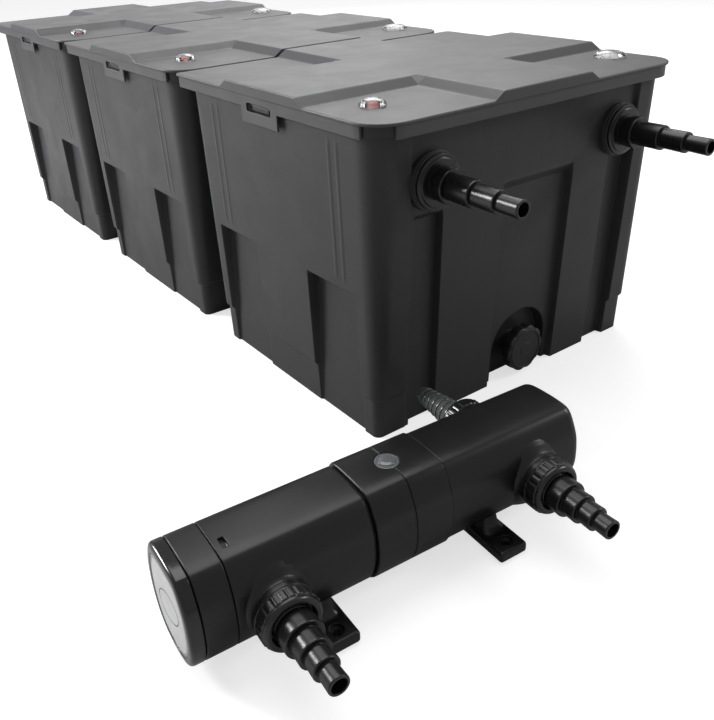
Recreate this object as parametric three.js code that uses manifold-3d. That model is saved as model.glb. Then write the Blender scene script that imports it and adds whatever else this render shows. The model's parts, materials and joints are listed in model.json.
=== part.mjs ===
// A flow-through pond filter: three tapered plastic chambers in a row, each under a lift-off lid,
// with an inline UV-C clarifier standing on the floor in front of them.
//
// Millimetres. +X runs to the right along the inlet face, +Y runs back along the row, +Z is up.
// The origin is on the floor, at the middle of the first chamber's underside.

import * as THREE from 'three';
import { mergeVertices } from 'three/addons/utils/BufferGeometryUtils.js';
import Module from 'manifold-3d';

const wasm = await Module();
wasm.setup();

// ---------------------------------------------------------------- driving dimensions

const CHAMBERS = 3;
const PITCH = 476; // from one chamber to the next; leaves 8 mm between the lids
const GAP = 0.3; // clearance where two pieces rest on or pass through each other
const REACH = 60; // how far a cutting tool runs past the wall it cuts

// Chamber shell, half sizes measured from its own centre
const BASE_HALF_X = 249;
const BASE_HALF_Y = 198;
const TOP_HALF_X = 255;
const TOP_HALF_Y = 219;
const WALL = 4;
const FLOOR = 5;
const BAND = 4; // the foot of the shell steps in by this much
const BAND_TOP = 60;
const BAND_STEP = 5;
const CORNER_RADIUS = 34; // under the rim; the corners sharpen towards the floor
const FOOT_CORNER_RADIUS = 14;
const TIGHTEST_CORNER = 3; // no inner corner is drawn sharper than this
const CORNER_STEPS = 3;
const RIM_BOTTOM = 398;
const RIM_TOP = 411.2;
const RIM_HALF_X = 258;
const RIM_HALF_Y = 227;
const RIM_WALL = 5;

// Moulded recesses in the shell walls
const PANEL = { from: -200, to: 200, bottom: -1, top: 396, depthLow: 5, depthHigh: 6, ramp: 0 };
const FRONT_POCKETS = [
  { from: -192, to: -146, bottom: -1, top: 286, depthLow: 14, depthHigh: 17, ramp: 12 },
  { from: -45, to: 87, bottom: -1, top: 290, depthLow: 14, depthHigh: 17, ramp: 22 },
  { from: 160, to: 206, bottom: -1, top: 298, depthLow: 14, depthHigh: 17, ramp: 12 },
];
const SIDE_POCKETS = [
  { from: -169, to: -65, bottom: -1, top: 194, depthLow: 7, depthHigh: 16, ramp: 6 },
  { from: 65, to: 169, bottom: -1, top: 194, depthLow: 7, depthHigh: 16, ramp: 6 },
];

// Water connections through the front and back walls
const PORT_X = [-168, 166];
const PORT_Z = 335;
const PORT_SIDES = ['left', 'right'];
const PORT_HOLE_RADIUS = 21.3;
const PORT_SHANK_RADIUS = 20.9;
const PORT_BOSS_RADIUS = 36;
const PORT_BOSS_OUTER = 218.5; // distance of the boss faces from the chamber's centre
const PORT_BOSS_INNER = 202;

// Drain in its arched recess
const DRAIN_X = 22;
const DRAIN_Z = 41;
const ARCH_HALF_WIDTH = 54;
const ARCH_SPRING_Z = 45;
const ARCH_BACK = 168; // distance of the recess's back wall from the chamber's centre
const DRAIN_SPIGOT_RADIUS = 17;
const DRAIN_BORE_RADIUS = 12;
const DRAIN_SPIGOT_END = 196;
const DRAIN_CAP_RADIUS = 35;
const DRAIN_CAP_BACK = 186;
const DRAIN_CAP_FACE = 203;
const DRAIN_CAP_GRIP = { lobes: 10, depth: 2.4, chamfer: 2 };
const DRAIN_CAP_CLEARANCE = 0.5;

// Lid
const LID_HALF_X = 265;
const LID_HALF_Y = 234;
const LID_FRONT_RADIUS = 44;
const LID_BACK_RADIUS = 5;
const LID_LOW = 415;
const LID_HIGH = 425;
const LID_PLATE = 3.5;
const LID_LIP = 3; // the plate overhangs the skirt by this much
const SKIRT_WALL = 3;
const SKIRT_BOTTOM = 396;
const RAISED_X = { foot: 91, crown: 76 }; // half widths of the raised cross's two arms
const RAISED_Y = { foot: 99, crown: 82 };
const CORNER_NOTCH = 33;
const LATCH_Y = 7;
const LATCH_HALF_WIDTH = 43;
const LATCH_BOTTOM = 376;
const LATCH_SLOT_HALF_WIDTH = 29;
const LATCH_SLOT_LOW = 391;
const LATCH_SLOT_HIGH = 402;
const CATCH_HALF_WIDTH = 20;
const CATCH_GAP = 0.4; // the lid slides straight up past the catches

// Instruments in each lid
const DIRT_SPOT = [-201, -148];
const DIRT_LENS_RADIUS = 16;
const DIRT_COLLAR_RADIUS = 12;
const THERMO_SPOT = [221, -148];
const THERMO_LENS_RADIUS = 22;
const THERMO_COLLAR_RADIUS = 17;
const COLLAR_BOTTOM = 408;
const LENS_WALL = 1.6;
const LENS_HEIGHT = 9;
const DIRT_LIP_RADIUS = 5; // opening left by the lip inside each collar
const THERMO_LIP_RADIUS = 11;
const FLOAT = { bottom: 318, top: 346, radius: 11, rodRadius: 2.5, buttonRadius: 9, buttonHeight: 3.5 };
const PROBE = { bottom: 300, radius: 3.5, stemRadius: 9, dialRadius: 14.8, dialHeight: 5 };

// Stepped hose tails: radius and length of each step, from the flange outwards
const TAIL_STEPS = [[21, 20], [16.3, 37], [13.6, 35], [10.8, 32]];
const UV_TAIL_STEPS = [[20, 20], [16.3, 18], [13.4, 18], [10.5, 19]];
const STEP_FLARE = 0.6; // each step swells by this much to its leading edge
const TAIL_BORE_WIDE = 15;
const TAIL_BORE_NARROW = 7.8;

// Pieces that hold the tails and pipes in the chamber walls
const GASKET = { radius: 35, thickness: 3 };
const FLANGE = { radius: 33, thickness: 3, hubRadius: 29, hubEnd: 6 };
const BACKNUT = { radius: 31, thickness: 11 };
const RUNNING_GAP = 0.4; // in radius, between a shank and the rings round it
const LINK = { bore: 17.5, sleeveRadius: 26, collarRadius: 30, collarLength: 5, inside: 14 };
const OUTLET = { collarRadius: 34, radius: 25, bore: 21.5, length: 90 };

// Filter media inside the chambers
const GRID_BOTTOM = 60;
const GRID_THICKNESS = 6;
const GRID_HALF_X = 222;
const GRID_FRONT = -158;
const GRID_BACK = 166;
const GRID_SLOTS = 6;
const GRID_EDGE = 14;
const GRID_RIB = 7; // half width of the grid's middle rib
const GRID_LEG = { half: 6, insetX: 10, insetY: 8 };
const MEDIA_BOTTOM = GRID_BOTTOM + GRID_THICKNESS + GAP;
const MEDIA_INSET = 4;
const MEDIA_CORNER = 12;
const FOAM_COARSE_HEIGHT = 100;
const FOAM_FINE_HEIGHT = 86;
const MAT_HEIGHT = 76;
const CRATE_TOP = 240;
const CRATE_WALL = 4;
const CRATE_WINDOWS = 6;
const CRATE_WINDOW = { half: 24, sill: 30, head: 50 }; // clear of the crate's floor and rim
const BED_GAP = 1;
const BED_BELOW_RIM = 8;

// Clarifier: placed on the floor and turned a little; its own axes are u along the barrel and v across
const UV_PLACE = [-602, -350, 0];
const UV_TURN = THREE.MathUtils.degToRad(-4.3);
const UV_AXIS_Z = 66;
const UV_LENGTH = 460;
const UV_HALF_OUTLINE = [
  [0, 123.5], [31, 122], [42, 106], [48.5, 88], [50, 66], [47, 46], [39, 29], [24, 17.5], [0, 14],
];
const UV_HALF_WIDTH = 50;
const UV_HALF_HEIGHT = 55;
const UV_HEAD_END = 45;
const UV_BEZEL_END = 14;
const UV_BAND_FROM = 192;
const UV_BAND_TO = 282;
const UV_JOIN = 237;
const UV_BAND_PROUD = 1.8;
const UV_BAND_SEAT = 3;
const UV_WALL = 6;
const UV_SPIGOT_INSET = 6.5;
const UV_PORTS = [
  { name: 'front_left', u: 84, facing: -1 },
  { name: 'front_right', u: 396, facing: -1 },
  { name: 'rear', u: 396, facing: 1 },
];
const UV_LABEL_INSET = 9;
const UV_LENS_RADIUS = 13;
const UV_LENS_SEAT = 123.4;
const UV_SPIGOT_ROOT = 30;
const UV_SPIGOT_RADIUS = 24;
const THREAD_CLEARANCE = 0.7; // in radius, between a nut and the spigot it turns on
const UV_SPIGOT_END = 68;
const UV_PORT_BORE = 15;
const UV_NUT_RADIUS = 30.5;
const UV_NUT_RIBS = 12;
const UV_NUT_GROOVE = 1.6;
const UV_NUT_BACK = 57;
const UV_NUT_FRONT = 82;
const UV_NUT_MOUTH = 20.6;
const UV_TAIL_START = 80;
const UV_TAIL_FLANGE = { radius: 23.6, thickness: 7, neck: 19.6 };
const BARBS = { count: 8, length: 9.2, radius: 19, shrink: 1.05, depth: 2.2 };
const UV_FEET = [134, 343];
const UV_FOOT_HALF_WIDTH = 18;
const UV_FOOT_REACH = 78;
const UV_FOOT_HEIGHT = 13;
const UV_FOOT_CORNER = 7;
const UV_BOLT_AT = 63;
const UV_BOLT_RADIUS = 4;
const UV_PLUG = { shank: 14, flange: 24, crown: 21, depth: 12 };
const HEAD_SPIGOT = 18; // how far the lamp head reaches into the barrel
const HEAD_SEAL = { from: 50, to: 54, inset: 9.5 };
const SLEEVE = { radius: 15, wall: 1.5, from: 36, to: 436 };
const LAMP = { baseRadius: 12.6, baseFrom: 18, baseTo: 72, legRadius: 5.4, legOffset: 6.6, legEnd: 392 };
const CABLE = { u: 30, z: 44, radius: 4, gland: 5.3 };

const ROUND = 16; // facets round a turned piece
const ROUND_SMALL = 8; // and round a slender or hidden one

// ---------------------------------------------------------------- shape helpers

// A closed three.js geometry as a solid that can be cut and joined
function solid(geometry) {
  const bare = new THREE.BufferGeometry();
  bare.setAttribute('position', geometry.getAttribute('position'));
  if (geometry.index) bare.setIndex(geometry.index);
  const merged = mergeVertices(bare, 1e-4);
  return new wasm.Manifold(new wasm.Mesh({
    numProp: 3,
    vertProperties: new Float32Array(merged.getAttribute('position').array),
    triVerts: new Uint32Array(merged.index.array),
  }));
}

// A solid back as a flat-shaded three.js geometry
function geometryOf(body) {
  const mesh = body.getMesh();
  const indexed = new THREE.BufferGeometry();
  indexed.setAttribute('position', new THREE.BufferAttribute(mesh.vertProperties, mesh.numProp));
  indexed.setIndex(new THREE.BufferAttribute(mesh.triVerts, 1));
  const flat = indexed.toNonIndexed();
  flat.computeVertexNormals();
  return flat;
}

function union(...bodies) {
  return bodies.reduce((sum, body) => sum.add(body));
}

// A closed skin over rings of points, each ring anticlockwise seen from the last ring's side
function skin(rings) {
  const count = rings[0].length;
  const top = (rings.length - 1) * count;
  const faces = [];
  for (let level = 0; level < rings.length - 1; level += 1) {
    for (let side = 0; side < count; side += 1) {
      const here = level * count + side;
      const next = level * count + ((side + 1) % count);
      faces.push(here, next, next + count, here, next + count, here + count);
    }
  }
  for (let side = 1; side < count - 1; side += 1) {
    faces.push(0, side + 1, side);
    faces.push(top, top + side, top + side + 1);
  }
  const geometry = new THREE.BufferGeometry();
  geometry.setAttribute('position', new THREE.Float32BufferAttribute(rings.flat(2), 3));
  geometry.setIndex(faces);
  return solid(geometry);
}

function box(x0, x1, y0, y1, z0, z1) {
  const geometry = new THREE.BoxGeometry(x1 - x0, y1 - y0, z1 - z0);
  geometry.translate((x0 + x1) / 2, (y0 + y1) / 2, (z0 + z1) / 2);
  return solid(geometry);
}

// A polygon pushed along an axis. For 'x' its points are (y, z), for 'y' they are (z, x), for 'z' (x, y).
function prism(points, axis, from, to) {
  const shape = new THREE.Shape(points.map(([a, b]) => new THREE.Vector2(a, b)));
  const geometry = new THREE.ExtrudeGeometry(shape, { depth: to - from, bevelEnabled: false });
  geometry.translate(0, 0, from);
  const [x, y, z] = [new THREE.Vector3(1, 0, 0), new THREE.Vector3(0, 1, 0), new THREE.Vector3(0, 0, 1)];
  const turn = new THREE.Matrix4();
  if (axis === 'x') turn.makeBasis(y, z, x);
  if (axis === 'y') turn.makeBasis(z, x, y);
  geometry.applyMatrix4(turn);
  return solid(geometry);
}

// A turned piece about Z from (radius, height) points
function turned(profile, facets = ROUND) {
  const points = profile.map(([radius, height]) => new THREE.Vector2(radius, height));
  const geometry = new THREE.LatheGeometry(points, facets);
  geometry.rotateX(Math.PI / 2);
  const body = solid(geometry);
  return body.volume() < 0 ? solid(reversed(geometry)) : body;
}

function reversed(geometry) {
  const copy = geometry.clone();
  copy.index.array.reverse();
  return copy;
}

// Turns a piece made about Z so that its height runs along -Y ('front'), +Y ('back') or +X ('right')
function facing(body, side) {
  const turns = { front: [90, 0, 0], back: [-90, 0, 0], right: [0, 90, 0] };
  return body.rotate(turns[side]);
}

// A cut or rib outline about Z whose radius follows a rule of the angle
function toothedOutline(steps, radiusAt) {
  const outline = [];
  for (let step = 0; step < steps; step += 1) {
    const angle = (2 * Math.PI * step) / steps;
    const radius = radiusAt(angle, step);
    outline.push([radius * Math.cos(angle), radius * Math.sin(angle)]);
  }
  return outline;
}

function shrunk(outline, factor) {
  return outline.map(([x, y]) => [x * factor, y * factor]);
}

// A plain round bar along Z
function bar(radius, from, to, facets = ROUND) {
  const geometry = new THREE.CylinderGeometry(radius, radius, to - from, facets);
  geometry.rotateX(Math.PI / 2);
  geometry.translate(0, 0, (from + to) / 2);
  return solid(geometry);
}

// A rounded rectangle, anticlockwise, with its own radius for the two front (-Y) corners
function roundedRect(halfX, halfY, frontRadius, backRadius = frontRadius) {
  const corners = [
    [halfX, -halfY, frontRadius, -90],
    [halfX, halfY, backRadius, 0],
    [-halfX, halfY, backRadius, 90],
    [-halfX, -halfY, frontRadius, 180],
  ];
  const points = [];
  for (const [x, y, radius, start] of corners) {
    for (let step = 0; step <= CORNER_STEPS; step += 1) {
      const angle = THREE.MathUtils.degToRad(start + (90 * step) / CORNER_STEPS);
      points.push([
        x - Math.sign(x) * radius + radius * Math.cos(angle),
        y - Math.sign(y) * radius + radius * Math.sin(angle),
      ]);
    }
  }
  return points;
}

function ring(points, z) {
  return points.map(([x, y]) => [x, y, z]);
}

// ---------------------------------------------------------------- the assembly's book-keeping

const assembly = new THREE.Group();

function material(colour, roughness, metalness = 0, extra = {}) {
  return new THREE.MeshStandardMaterial({ color: colour, roughness, metalness, ...extra });
}

const shellPlastic = () => material(0x3a3a3c, 0.55);
const lidPlastic = () => material(0x4a4a4d, 0.5);
const glossPlastic = () => material(0x161617, 0.25);
const clarifierPlastic = () => material(0x242425, 0.4);
const clearPlastic = () => material(0xdfe6e8, 0.08, 0, { transparent: true, opacity: 0.35 });
const sealRubber = () => material(0x101010, 0.8);

function place(name, body, look, at = [0, 0, 0], turn = 0) {
  const mesh = new THREE.Mesh(geometryOf(body), look);
  mesh.name = name;
  mesh.position.set(...at);
  mesh.rotation.z = turn;
  assembly.add(mesh);
}

// ---------------------------------------------------------------- chamber shell

function wallHalfX(z) {
  return BASE_HALF_X + ((TOP_HALF_X - BASE_HALF_X) * z) / RIM_BOTTOM;
}

function wallHalfY(z) {
  return BASE_HALF_Y + ((TOP_HALF_Y - BASE_HALF_Y) * z) / RIM_BOTTOM;
}

function cornerRadius(z, inset) {
  const radius = FOOT_CORNER_RADIUS + ((CORNER_RADIUS - FOOT_CORNER_RADIUS) * z) / RIM_BOTTOM;
  return Math.max(radius - inset, TIGHTEST_CORNER);
}

function shellRing(z, inset) {
  return ring(roundedRect(wallHalfX(z) - inset, wallHalfY(z) - inset, cornerRadius(z, inset)), z);
}

function rimRing(z, inset) {
  return ring(roundedRect(RIM_HALF_X - inset, RIM_HALF_Y - inset, CORNER_RADIUS + BAND - inset), z);
}

// A recess cut into the wall that faces -Y. `grow` swells it by a wall thickness on every side.
function wallRecess(pocket, half, grow) {
  const depthAt = (z) => {
    const share = (z - pocket.bottom) / (pocket.top - pocket.bottom);
    return pocket.depthLow + (pocket.depthHigh - pocket.depthLow) * share + grow;
  };
  const low = pocket.bottom - grow;
  const high = pocket.top + grow;
  const lip = high + pocket.ramp;
  const outside = -half(high) - REACH;
  const profile = [
    [outside, low],
    [-half(low) + depthAt(low), low],
    [-half(high) + depthAt(high), high],
    [-half(lip) - 1 + grow, lip],
    [outside, lip],
  ];
  return prism(profile, 'x', pocket.from - grow, pocket.to + grow);
}

function mirroredInX(pocket) {
  return { ...pocket, from: -pocket.to, to: -pocket.from };
}

// Every recess in the four walls: panels and pockets front and back, pockets on both sides
function allRecesses(grow) {
  const cuts = [];
  for (const pocket of [PANEL, ...FRONT_POCKETS]) {
    cuts.push(wallRecess(pocket, wallHalfY, grow));
  }
  for (const pocket of [PANEL, FRONT_POCKETS[0], FRONT_POCKETS[2]]) {
    cuts.push(wallRecess(mirroredInX(pocket), wallHalfY, grow).rotate([0, 0, 180]));
  }
  for (const quarterTurn of [90, -90]) {
    for (const pocket of SIDE_POCKETS) {
      cuts.push(wallRecess(pocket, wallHalfX, grow).rotate([0, 0, quarterTurn]));
    }
  }
  return union(...cuts);
}

// The arched recess at the foot of the front wall, swollen by `grow` like the other recesses
function drainArch(grow) {
  const radius = ARCH_HALF_WIDTH + grow;
  const steps = ROUND / 2;
  const points = [[-1, DRAIN_X - radius]];
  for (let step = 0; step <= steps; step += 1) {
    const angle = Math.PI - (Math.PI * step) / steps;
    points.push([ARCH_SPRING_Z + radius * Math.sin(angle), DRAIN_X + radius * Math.cos(angle)]);
  }
  points.push([-1, DRAIN_X + radius]);
  return prism(points, 'y', -TOP_HALF_Y - REACH, -ARCH_BACK + grow);
}

// A pair of blocks at the latches, one on each long side of a chamber
function bothSides(innerX, outerX, halfWidth, low, high) {
  const [from, to] = [LATCH_Y - halfWidth, LATCH_Y + halfWidth];
  return union(box(-outerX, -innerX, from, to, low, high), box(innerX, outerX, from, to, low, high));
}

function latchCatches() {
  const face = LID_HALF_X - LID_LIP - SKIRT_WALL - CATCH_GAP;
  const root = TOP_HALF_X - WALL / 2;
  return bothSides(root, face, CATCH_HALF_WIDTH, LATCH_SLOT_LOW + 1.5, RIM_BOTTOM + 1);
}

// Thickened seats for the water fittings, on the front and back walls
function portBosses() {
  const bosses = [];
  for (const x of PORT_X) {
    const boss = bar(PORT_BOSS_RADIUS, PORT_BOSS_INNER, PORT_BOSS_OUTER, ROUND_SMALL);
    bosses.push(facing(boss, 'front').translate([x, 0, PORT_Z]));
    bosses.push(facing(boss, 'back').translate([x, 0, PORT_Z]));
  }
  return union(...bosses);
}

function portHoles() {
  const holes = PORT_X.map((x) => {
    const hole = bar(PORT_HOLE_RADIUS, -TOP_HALF_Y - REACH, TOP_HALF_Y + REACH);
    return facing(hole, 'front').translate([x, 0, PORT_Z]);
  });
  return union(...holes);
}

function chamberShell() {
  const outside = skin([
    shellRing(0, BAND),
    shellRing(BAND_TOP - BAND_STEP, BAND),
    shellRing(BAND_TOP, 0),
    shellRing(RIM_BOTTOM, 0),
    rimRing(RIM_BOTTOM, 0),
    rimRing(RIM_TOP, 0),
  ]);
  const inside = skin([
    shellRing(FLOOR, BAND + WALL),
    shellRing(BAND_TOP - BAND_STEP, BAND + WALL),
    shellRing(BAND_TOP, WALL),
    shellRing(RIM_BOTTOM, WALL),
    rimRing(RIM_BOTTOM + WALL, RIM_WALL),
    rimRing(RIM_TOP + 1, RIM_WALL),
  ]);
  const moulded = outside.subtract(allRecesses(0)).subtract(drainArch(0));
  const cavity = inside.subtract(allRecesses(WALL)).subtract(drainArch(WALL));
  const spigot = bar(DRAIN_SPIGOT_RADIUS, ARCH_BACK - WALL, DRAIN_SPIGOT_END);
  const drainBore = bar(DRAIN_BORE_RADIUS, ARCH_BACK - REACH, DRAIN_SPIGOT_END + 1);
  const shell = union(
    moulded.subtract(cavity),
    portBosses(),
    latchCatches(),
    facing(spigot, 'front').translate([DRAIN_X, 0, DRAIN_Z]),
  );
  return shell
    .subtract(portHoles())
    .subtract(facing(drainBore, 'front').translate([DRAIN_X, 0, DRAIN_Z]));
}

// A screw cap with a scalloped grip, bored from the back to pass over the drain spigot
function drainCap() {
  const { lobes, depth, chamfer } = DRAIN_CAP_GRIP;
  const scallop = (angle) => depth * Math.max(0, Math.cos(lobes * angle)) ** 2;
  const outline = toothedOutline(lobes * 4, (angle) => DRAIN_CAP_RADIUS - scallop(angle));
  const small = shrunk(outline, (DRAIN_CAP_RADIUS - chamfer) / DRAIN_CAP_RADIUS);
  const grip = skin([
    ring(outline, DRAIN_CAP_BACK),
    ring(outline, DRAIN_CAP_FACE - chamfer),
    ring(small, DRAIN_CAP_FACE),
  ]);
  const bore = bar(DRAIN_SPIGOT_RADIUS + DRAIN_CAP_CLEARANCE, DRAIN_CAP_BACK - 1, DRAIN_SPIGOT_END + 3);
  return facing(grip.subtract(bore), 'front').translate([DRAIN_X, 0, DRAIN_Z]);
}

// ---------------------------------------------------------------- lid

// One arm of the raised cross, along Y for the 'y' axis and along X for the 'x' axis
function raisedArm(widths, axis, halfLength, sink) {
  const foot = widths.foot - sink;
  const crown = widths.crown - sink;
  const low = LID_LOW - LID_PLATE - 1;
  const profile = [
    [-foot, low], [foot, low], [foot, LID_LOW - sink], [crown, LID_HIGH - sink],
    [-crown, LID_HIGH - sink], [-foot, LID_LOW - sink],
  ];
  if (axis === 'x') return prism(profile, 'x', -halfLength, halfLength);
  return prism(profile.map(([a, b]) => [b, a]).reverse(), 'y', -halfLength, halfLength);
}

// Lip plate, skirt and raised cross as one shell, with a latch tongue on each long side
function lid() {
  const skirtX = LID_HALF_X - LID_LIP;
  const skirtY = LID_HALF_Y - LID_LIP;
  const innerX = skirtX - SKIRT_WALL;
  const innerY = skirtY - SKIRT_WALL;
  const plateBottom = LID_LOW - LID_PLATE;
  const plateOutline = roundedRect(LID_HALF_X, LID_HALF_Y, LID_FRONT_RADIUS, LID_BACK_RADIUS);
  const plate = skin([ring(plateOutline, plateBottom), ring(plateOutline, LID_LOW)]);
  const skirtOutline = roundedRect(skirtX, skirtY, LID_FRONT_RADIUS - LID_LIP, LID_BACK_RADIUS);
  const skirt = skin([ring(skirtOutline, SKIRT_BOTTOM), ring(skirtOutline, plateBottom + 1)]);
  const hollow = roundedRect(innerX, innerY, LID_FRONT_RADIUS - LID_LIP - SKIRT_WALL, LID_BACK_RADIUS);
  const under = skin([ring(hollow, SKIRT_BOTTOM - 1), ring(hollow, plateBottom)]);
  const tongues = bothSides(innerX, skirtX, LATCH_HALF_WIDTH, LATCH_BOTTOM, SKIRT_BOTTOM + 1);
  const slots = bothSides(innerX - 2, skirtX + 2, LATCH_SLOT_HALF_WIDTH, LATCH_SLOT_LOW, LATCH_SLOT_HIGH);
  const outside = union(
    plate,
    skirt,
    raisedArm(RAISED_X, 'y', LID_HALF_Y, 0),
    raisedArm(RAISED_Y, 'x', LID_HALF_X, 0),
  );
  const inside = union(
    under,
    raisedArm(RAISED_X, 'y', innerY, LID_PLATE),
    raisedArm(RAISED_Y, 'x', innerX, LID_PLATE),
  );
  const notch = box(
    -LID_HALF_X - 1, -LID_HALF_X + CORNER_NOTCH, -LID_HALF_Y - 1, -LID_HALF_Y + CORNER_NOTCH,
    SKIRT_BOTTOM - 1, plateBottom,
  );
  const dirtHole = bar(DIRT_COLLAR_RADIUS + GAP, COLLAR_BOTTOM - 1, LID_LOW + 1, ROUND_SMALL);
  const thermoHole = bar(THERMO_COLLAR_RADIUS + GAP, COLLAR_BOTTOM - 1, LID_LOW + 1, ROUND_SMALL);
  return union(outside.subtract(inside), tongues)
    .subtract(union(slots, notch))
    .subtract(dirtHole.translate([...DIRT_SPOT, 0]))
    .subtract(thermoHole.translate([...THERMO_SPOT, 0]));
}

// A clear domed cap whose collar drops through the lid; a lip in the collar keeps its contents in
function domedLens(rimRadius, collarRadius, lipRadius) {
  const seat = LID_LOW + GAP;
  const crown = seat + LENS_HEIGHT;
  const inner = collarRadius - LENS_WALL;
  const outerProfile = [
    [0, crown], [rimRadius * 0.6, crown - 1.5], [rimRadius, seat + 2],
    [rimRadius, seat], [collarRadius, seat], [collarRadius, COLLAR_BOTTOM], [lipRadius, COLLAR_BOTTOM],
  ];
  const innerProfile = [
    [lipRadius, COLLAR_BOTTOM + LENS_WALL], [inner, COLLAR_BOTTOM + LENS_WALL], [inner, crown - 5],
    [0, crown - LENS_WALL - 0.4],
  ];
  return turned([...outerProfile, ...innerProfile], ROUND_SMALL);
}

function dirtLens() {
  return domedLens(DIRT_LENS_RADIUS, DIRT_COLLAR_RADIUS, DIRT_LIP_RADIUS);
}

function thermoLens() {
  return domedLens(THERMO_LENS_RADIUS, THERMO_COLLAR_RADIUS, THERMO_LIP_RADIUS);
}

// The blockage float: a red button under the dome on a thin rod, with a float at its foot
function dirtFloat() {
  const seat = COLLAR_BOTTOM + LENS_WALL + GAP;
  const { bottom, top, radius, rodRadius, buttonRadius, buttonHeight } = FLOAT;
  return turned([
    [0, bottom], [radius, bottom], [radius, top], [rodRadius, top + 3], [rodRadius, seat],
    [buttonRadius, seat], [buttonRadius, seat + buttonHeight], [0, seat + buttonHeight + 1],
  ], ROUND_SMALL);
}

// A dial thermometer: dial pot inside the lens collar, probe hanging into the water
function thermometer() {
  const seat = COLLAR_BOTTOM + LENS_WALL + GAP;
  const { bottom, radius, stemRadius, dialRadius, dialHeight } = PROBE;
  return turned([
    [0, bottom], [radius, bottom + 2], [radius, COLLAR_BOTTOM - 3], [stemRadius, COLLAR_BOTTOM - 3],
    [stemRadius, seat], [dialRadius, seat], [dialRadius, seat + dialHeight], [0, seat + dialHeight],
  ], ROUND_SMALL);
}

// ---------------------------------------------------------------- water fittings on the chambers

// Steps down towards the hose end, each step swelling a little to its leading edge. Heights run outwards.
function steppedTail(sections, start) {
  const points = [];
  let height = start;
  for (const [radius, length] of sections) {
    points.push([radius - STEP_FLARE, height], [radius, height + length]);
    height += length;
  }
  return { points, end: height };
}

function inletTail() {
  const inner = PORT_BOSS_INNER - 22;
  const seat = PORT_BOSS_OUTER + GAP + GASKET.thickness + GAP;
  const { points, end } = steppedTail(TAIL_STEPS, seat + FLANGE.hubEnd);
  return turned([
    [TAIL_BORE_WIDE, inner], [PORT_SHANK_RADIUS, inner], [PORT_SHANK_RADIUS, seat],
    [FLANGE.radius, seat], [FLANGE.radius, seat + FLANGE.thickness],
    [FLANGE.hubRadius, seat + FLANGE.thickness + 1], [FLANGE.hubRadius, seat + FLANGE.hubEnd],
    ...points,
    [TAIL_BORE_NARROW, end], [TAIL_BORE_NARROW, end - 60],
    [TAIL_BORE_WIDE, end - 90], [TAIL_BORE_WIDE, inner],
  ]);
}

function inletGasket() {
  const seat = PORT_BOSS_OUTER + GAP;
  const bore = PORT_SHANK_RADIUS + RUNNING_GAP;
  return turned([
    [bore, seat], [GASKET.radius, seat], [GASKET.radius, seat + GASKET.thickness],
    [bore, seat + GASKET.thickness], [bore, seat],
  ]);
}

function inletNut() {
  const outer = PORT_BOSS_INNER - GAP;
  const inner = outer - BACKNUT.thickness;
  const hexagon = toothedOutline(6, () => BACKNUT.radius);
  const bore = bar(PORT_SHANK_RADIUS + RUNNING_GAP, inner - 1, outer + 1);
  return prism(hexagon, 'z', inner, outer).subtract(bore);
}

// A pipe joining two chambers: a shank in each wall and a thicker sleeve in the gap between them
function linkPipe() {
  const wallFace = PORT_BOSS_OUTER + GAP;
  const farFace = PITCH - wallFace;
  const inner = PORT_BOSS_INNER - LINK.inside;
  const { bore, sleeveRadius, collarRadius, collarLength } = LINK;
  return turned([
    [bore, inner], [PORT_SHANK_RADIUS, inner], [PORT_SHANK_RADIUS, wallFace], [collarRadius, wallFace],
    [collarRadius, wallFace + collarLength], [sleeveRadius, wallFace + collarLength],
    [sleeveRadius, farFace - collarLength], [collarRadius, farFace - collarLength], [collarRadius, farFace],
    [PORT_SHANK_RADIUS, farFace], [PORT_SHANK_RADIUS, PITCH - inner], [bore, PITCH - inner], [bore, inner],
  ]);
}

function outletPipe() {
  const seat = PORT_BOSS_OUTER + GAP;
  const inner = PORT_BOSS_INNER - LINK.inside;
  const { collarRadius, radius, bore, length } = OUTLET;
  const end = seat + length;
  return turned([
    [LINK.bore, inner], [PORT_SHANK_RADIUS, inner], [PORT_SHANK_RADIUS, seat],
    [collarRadius, seat], [collarRadius, seat + 5], [radius, seat + 6],
    [radius, end - 2], [radius - 1, end], [bore, end], [bore, seat + 8],
    [LINK.bore, seat + 4], [LINK.bore, inner],
  ]);
}

// ---------------------------------------------------------------- filter media

// A slotted grid on four legs that holds the media off the chamber's floor
function mediaGrid() {
  const top = GRID_BOTTOM + GRID_THICKNESS;
  let grid = box(-GRID_HALF_X, GRID_HALF_X, GRID_FRONT, GRID_BACK, GRID_BOTTOM, top);
  const spacing = (2 * GRID_HALF_X) / GRID_SLOTS;
  const half = spacing * 0.31;
  const middle = (GRID_FRONT + GRID_BACK) / 2;
  const rows = [[GRID_FRONT + GRID_EDGE, middle - GRID_RIB], [middle + GRID_RIB, GRID_BACK - GRID_EDGE]];
  for (let slot = 0; slot < GRID_SLOTS; slot += 1) {
    const x = -GRID_HALF_X + (slot + 0.5) * spacing;
    for (const [from, to] of rows) {
      grid = grid.subtract(box(x - half, x + half, from, to, GRID_BOTTOM - 1, top + 1));
    }
  }
  const legs = [];
  const { half: leg, insetX, insetY } = GRID_LEG;
  for (const x of [-GRID_HALF_X + insetX, GRID_HALF_X - insetX]) {
    for (const y of [GRID_FRONT + insetY, GRID_BACK - insetY]) {
      legs.push(box(x - leg, x + leg, y - leg, y + leg, FLOOR + GAP, GRID_BOTTOM + 1));
    }
  }
  return union(grid, ...legs);
}

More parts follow.
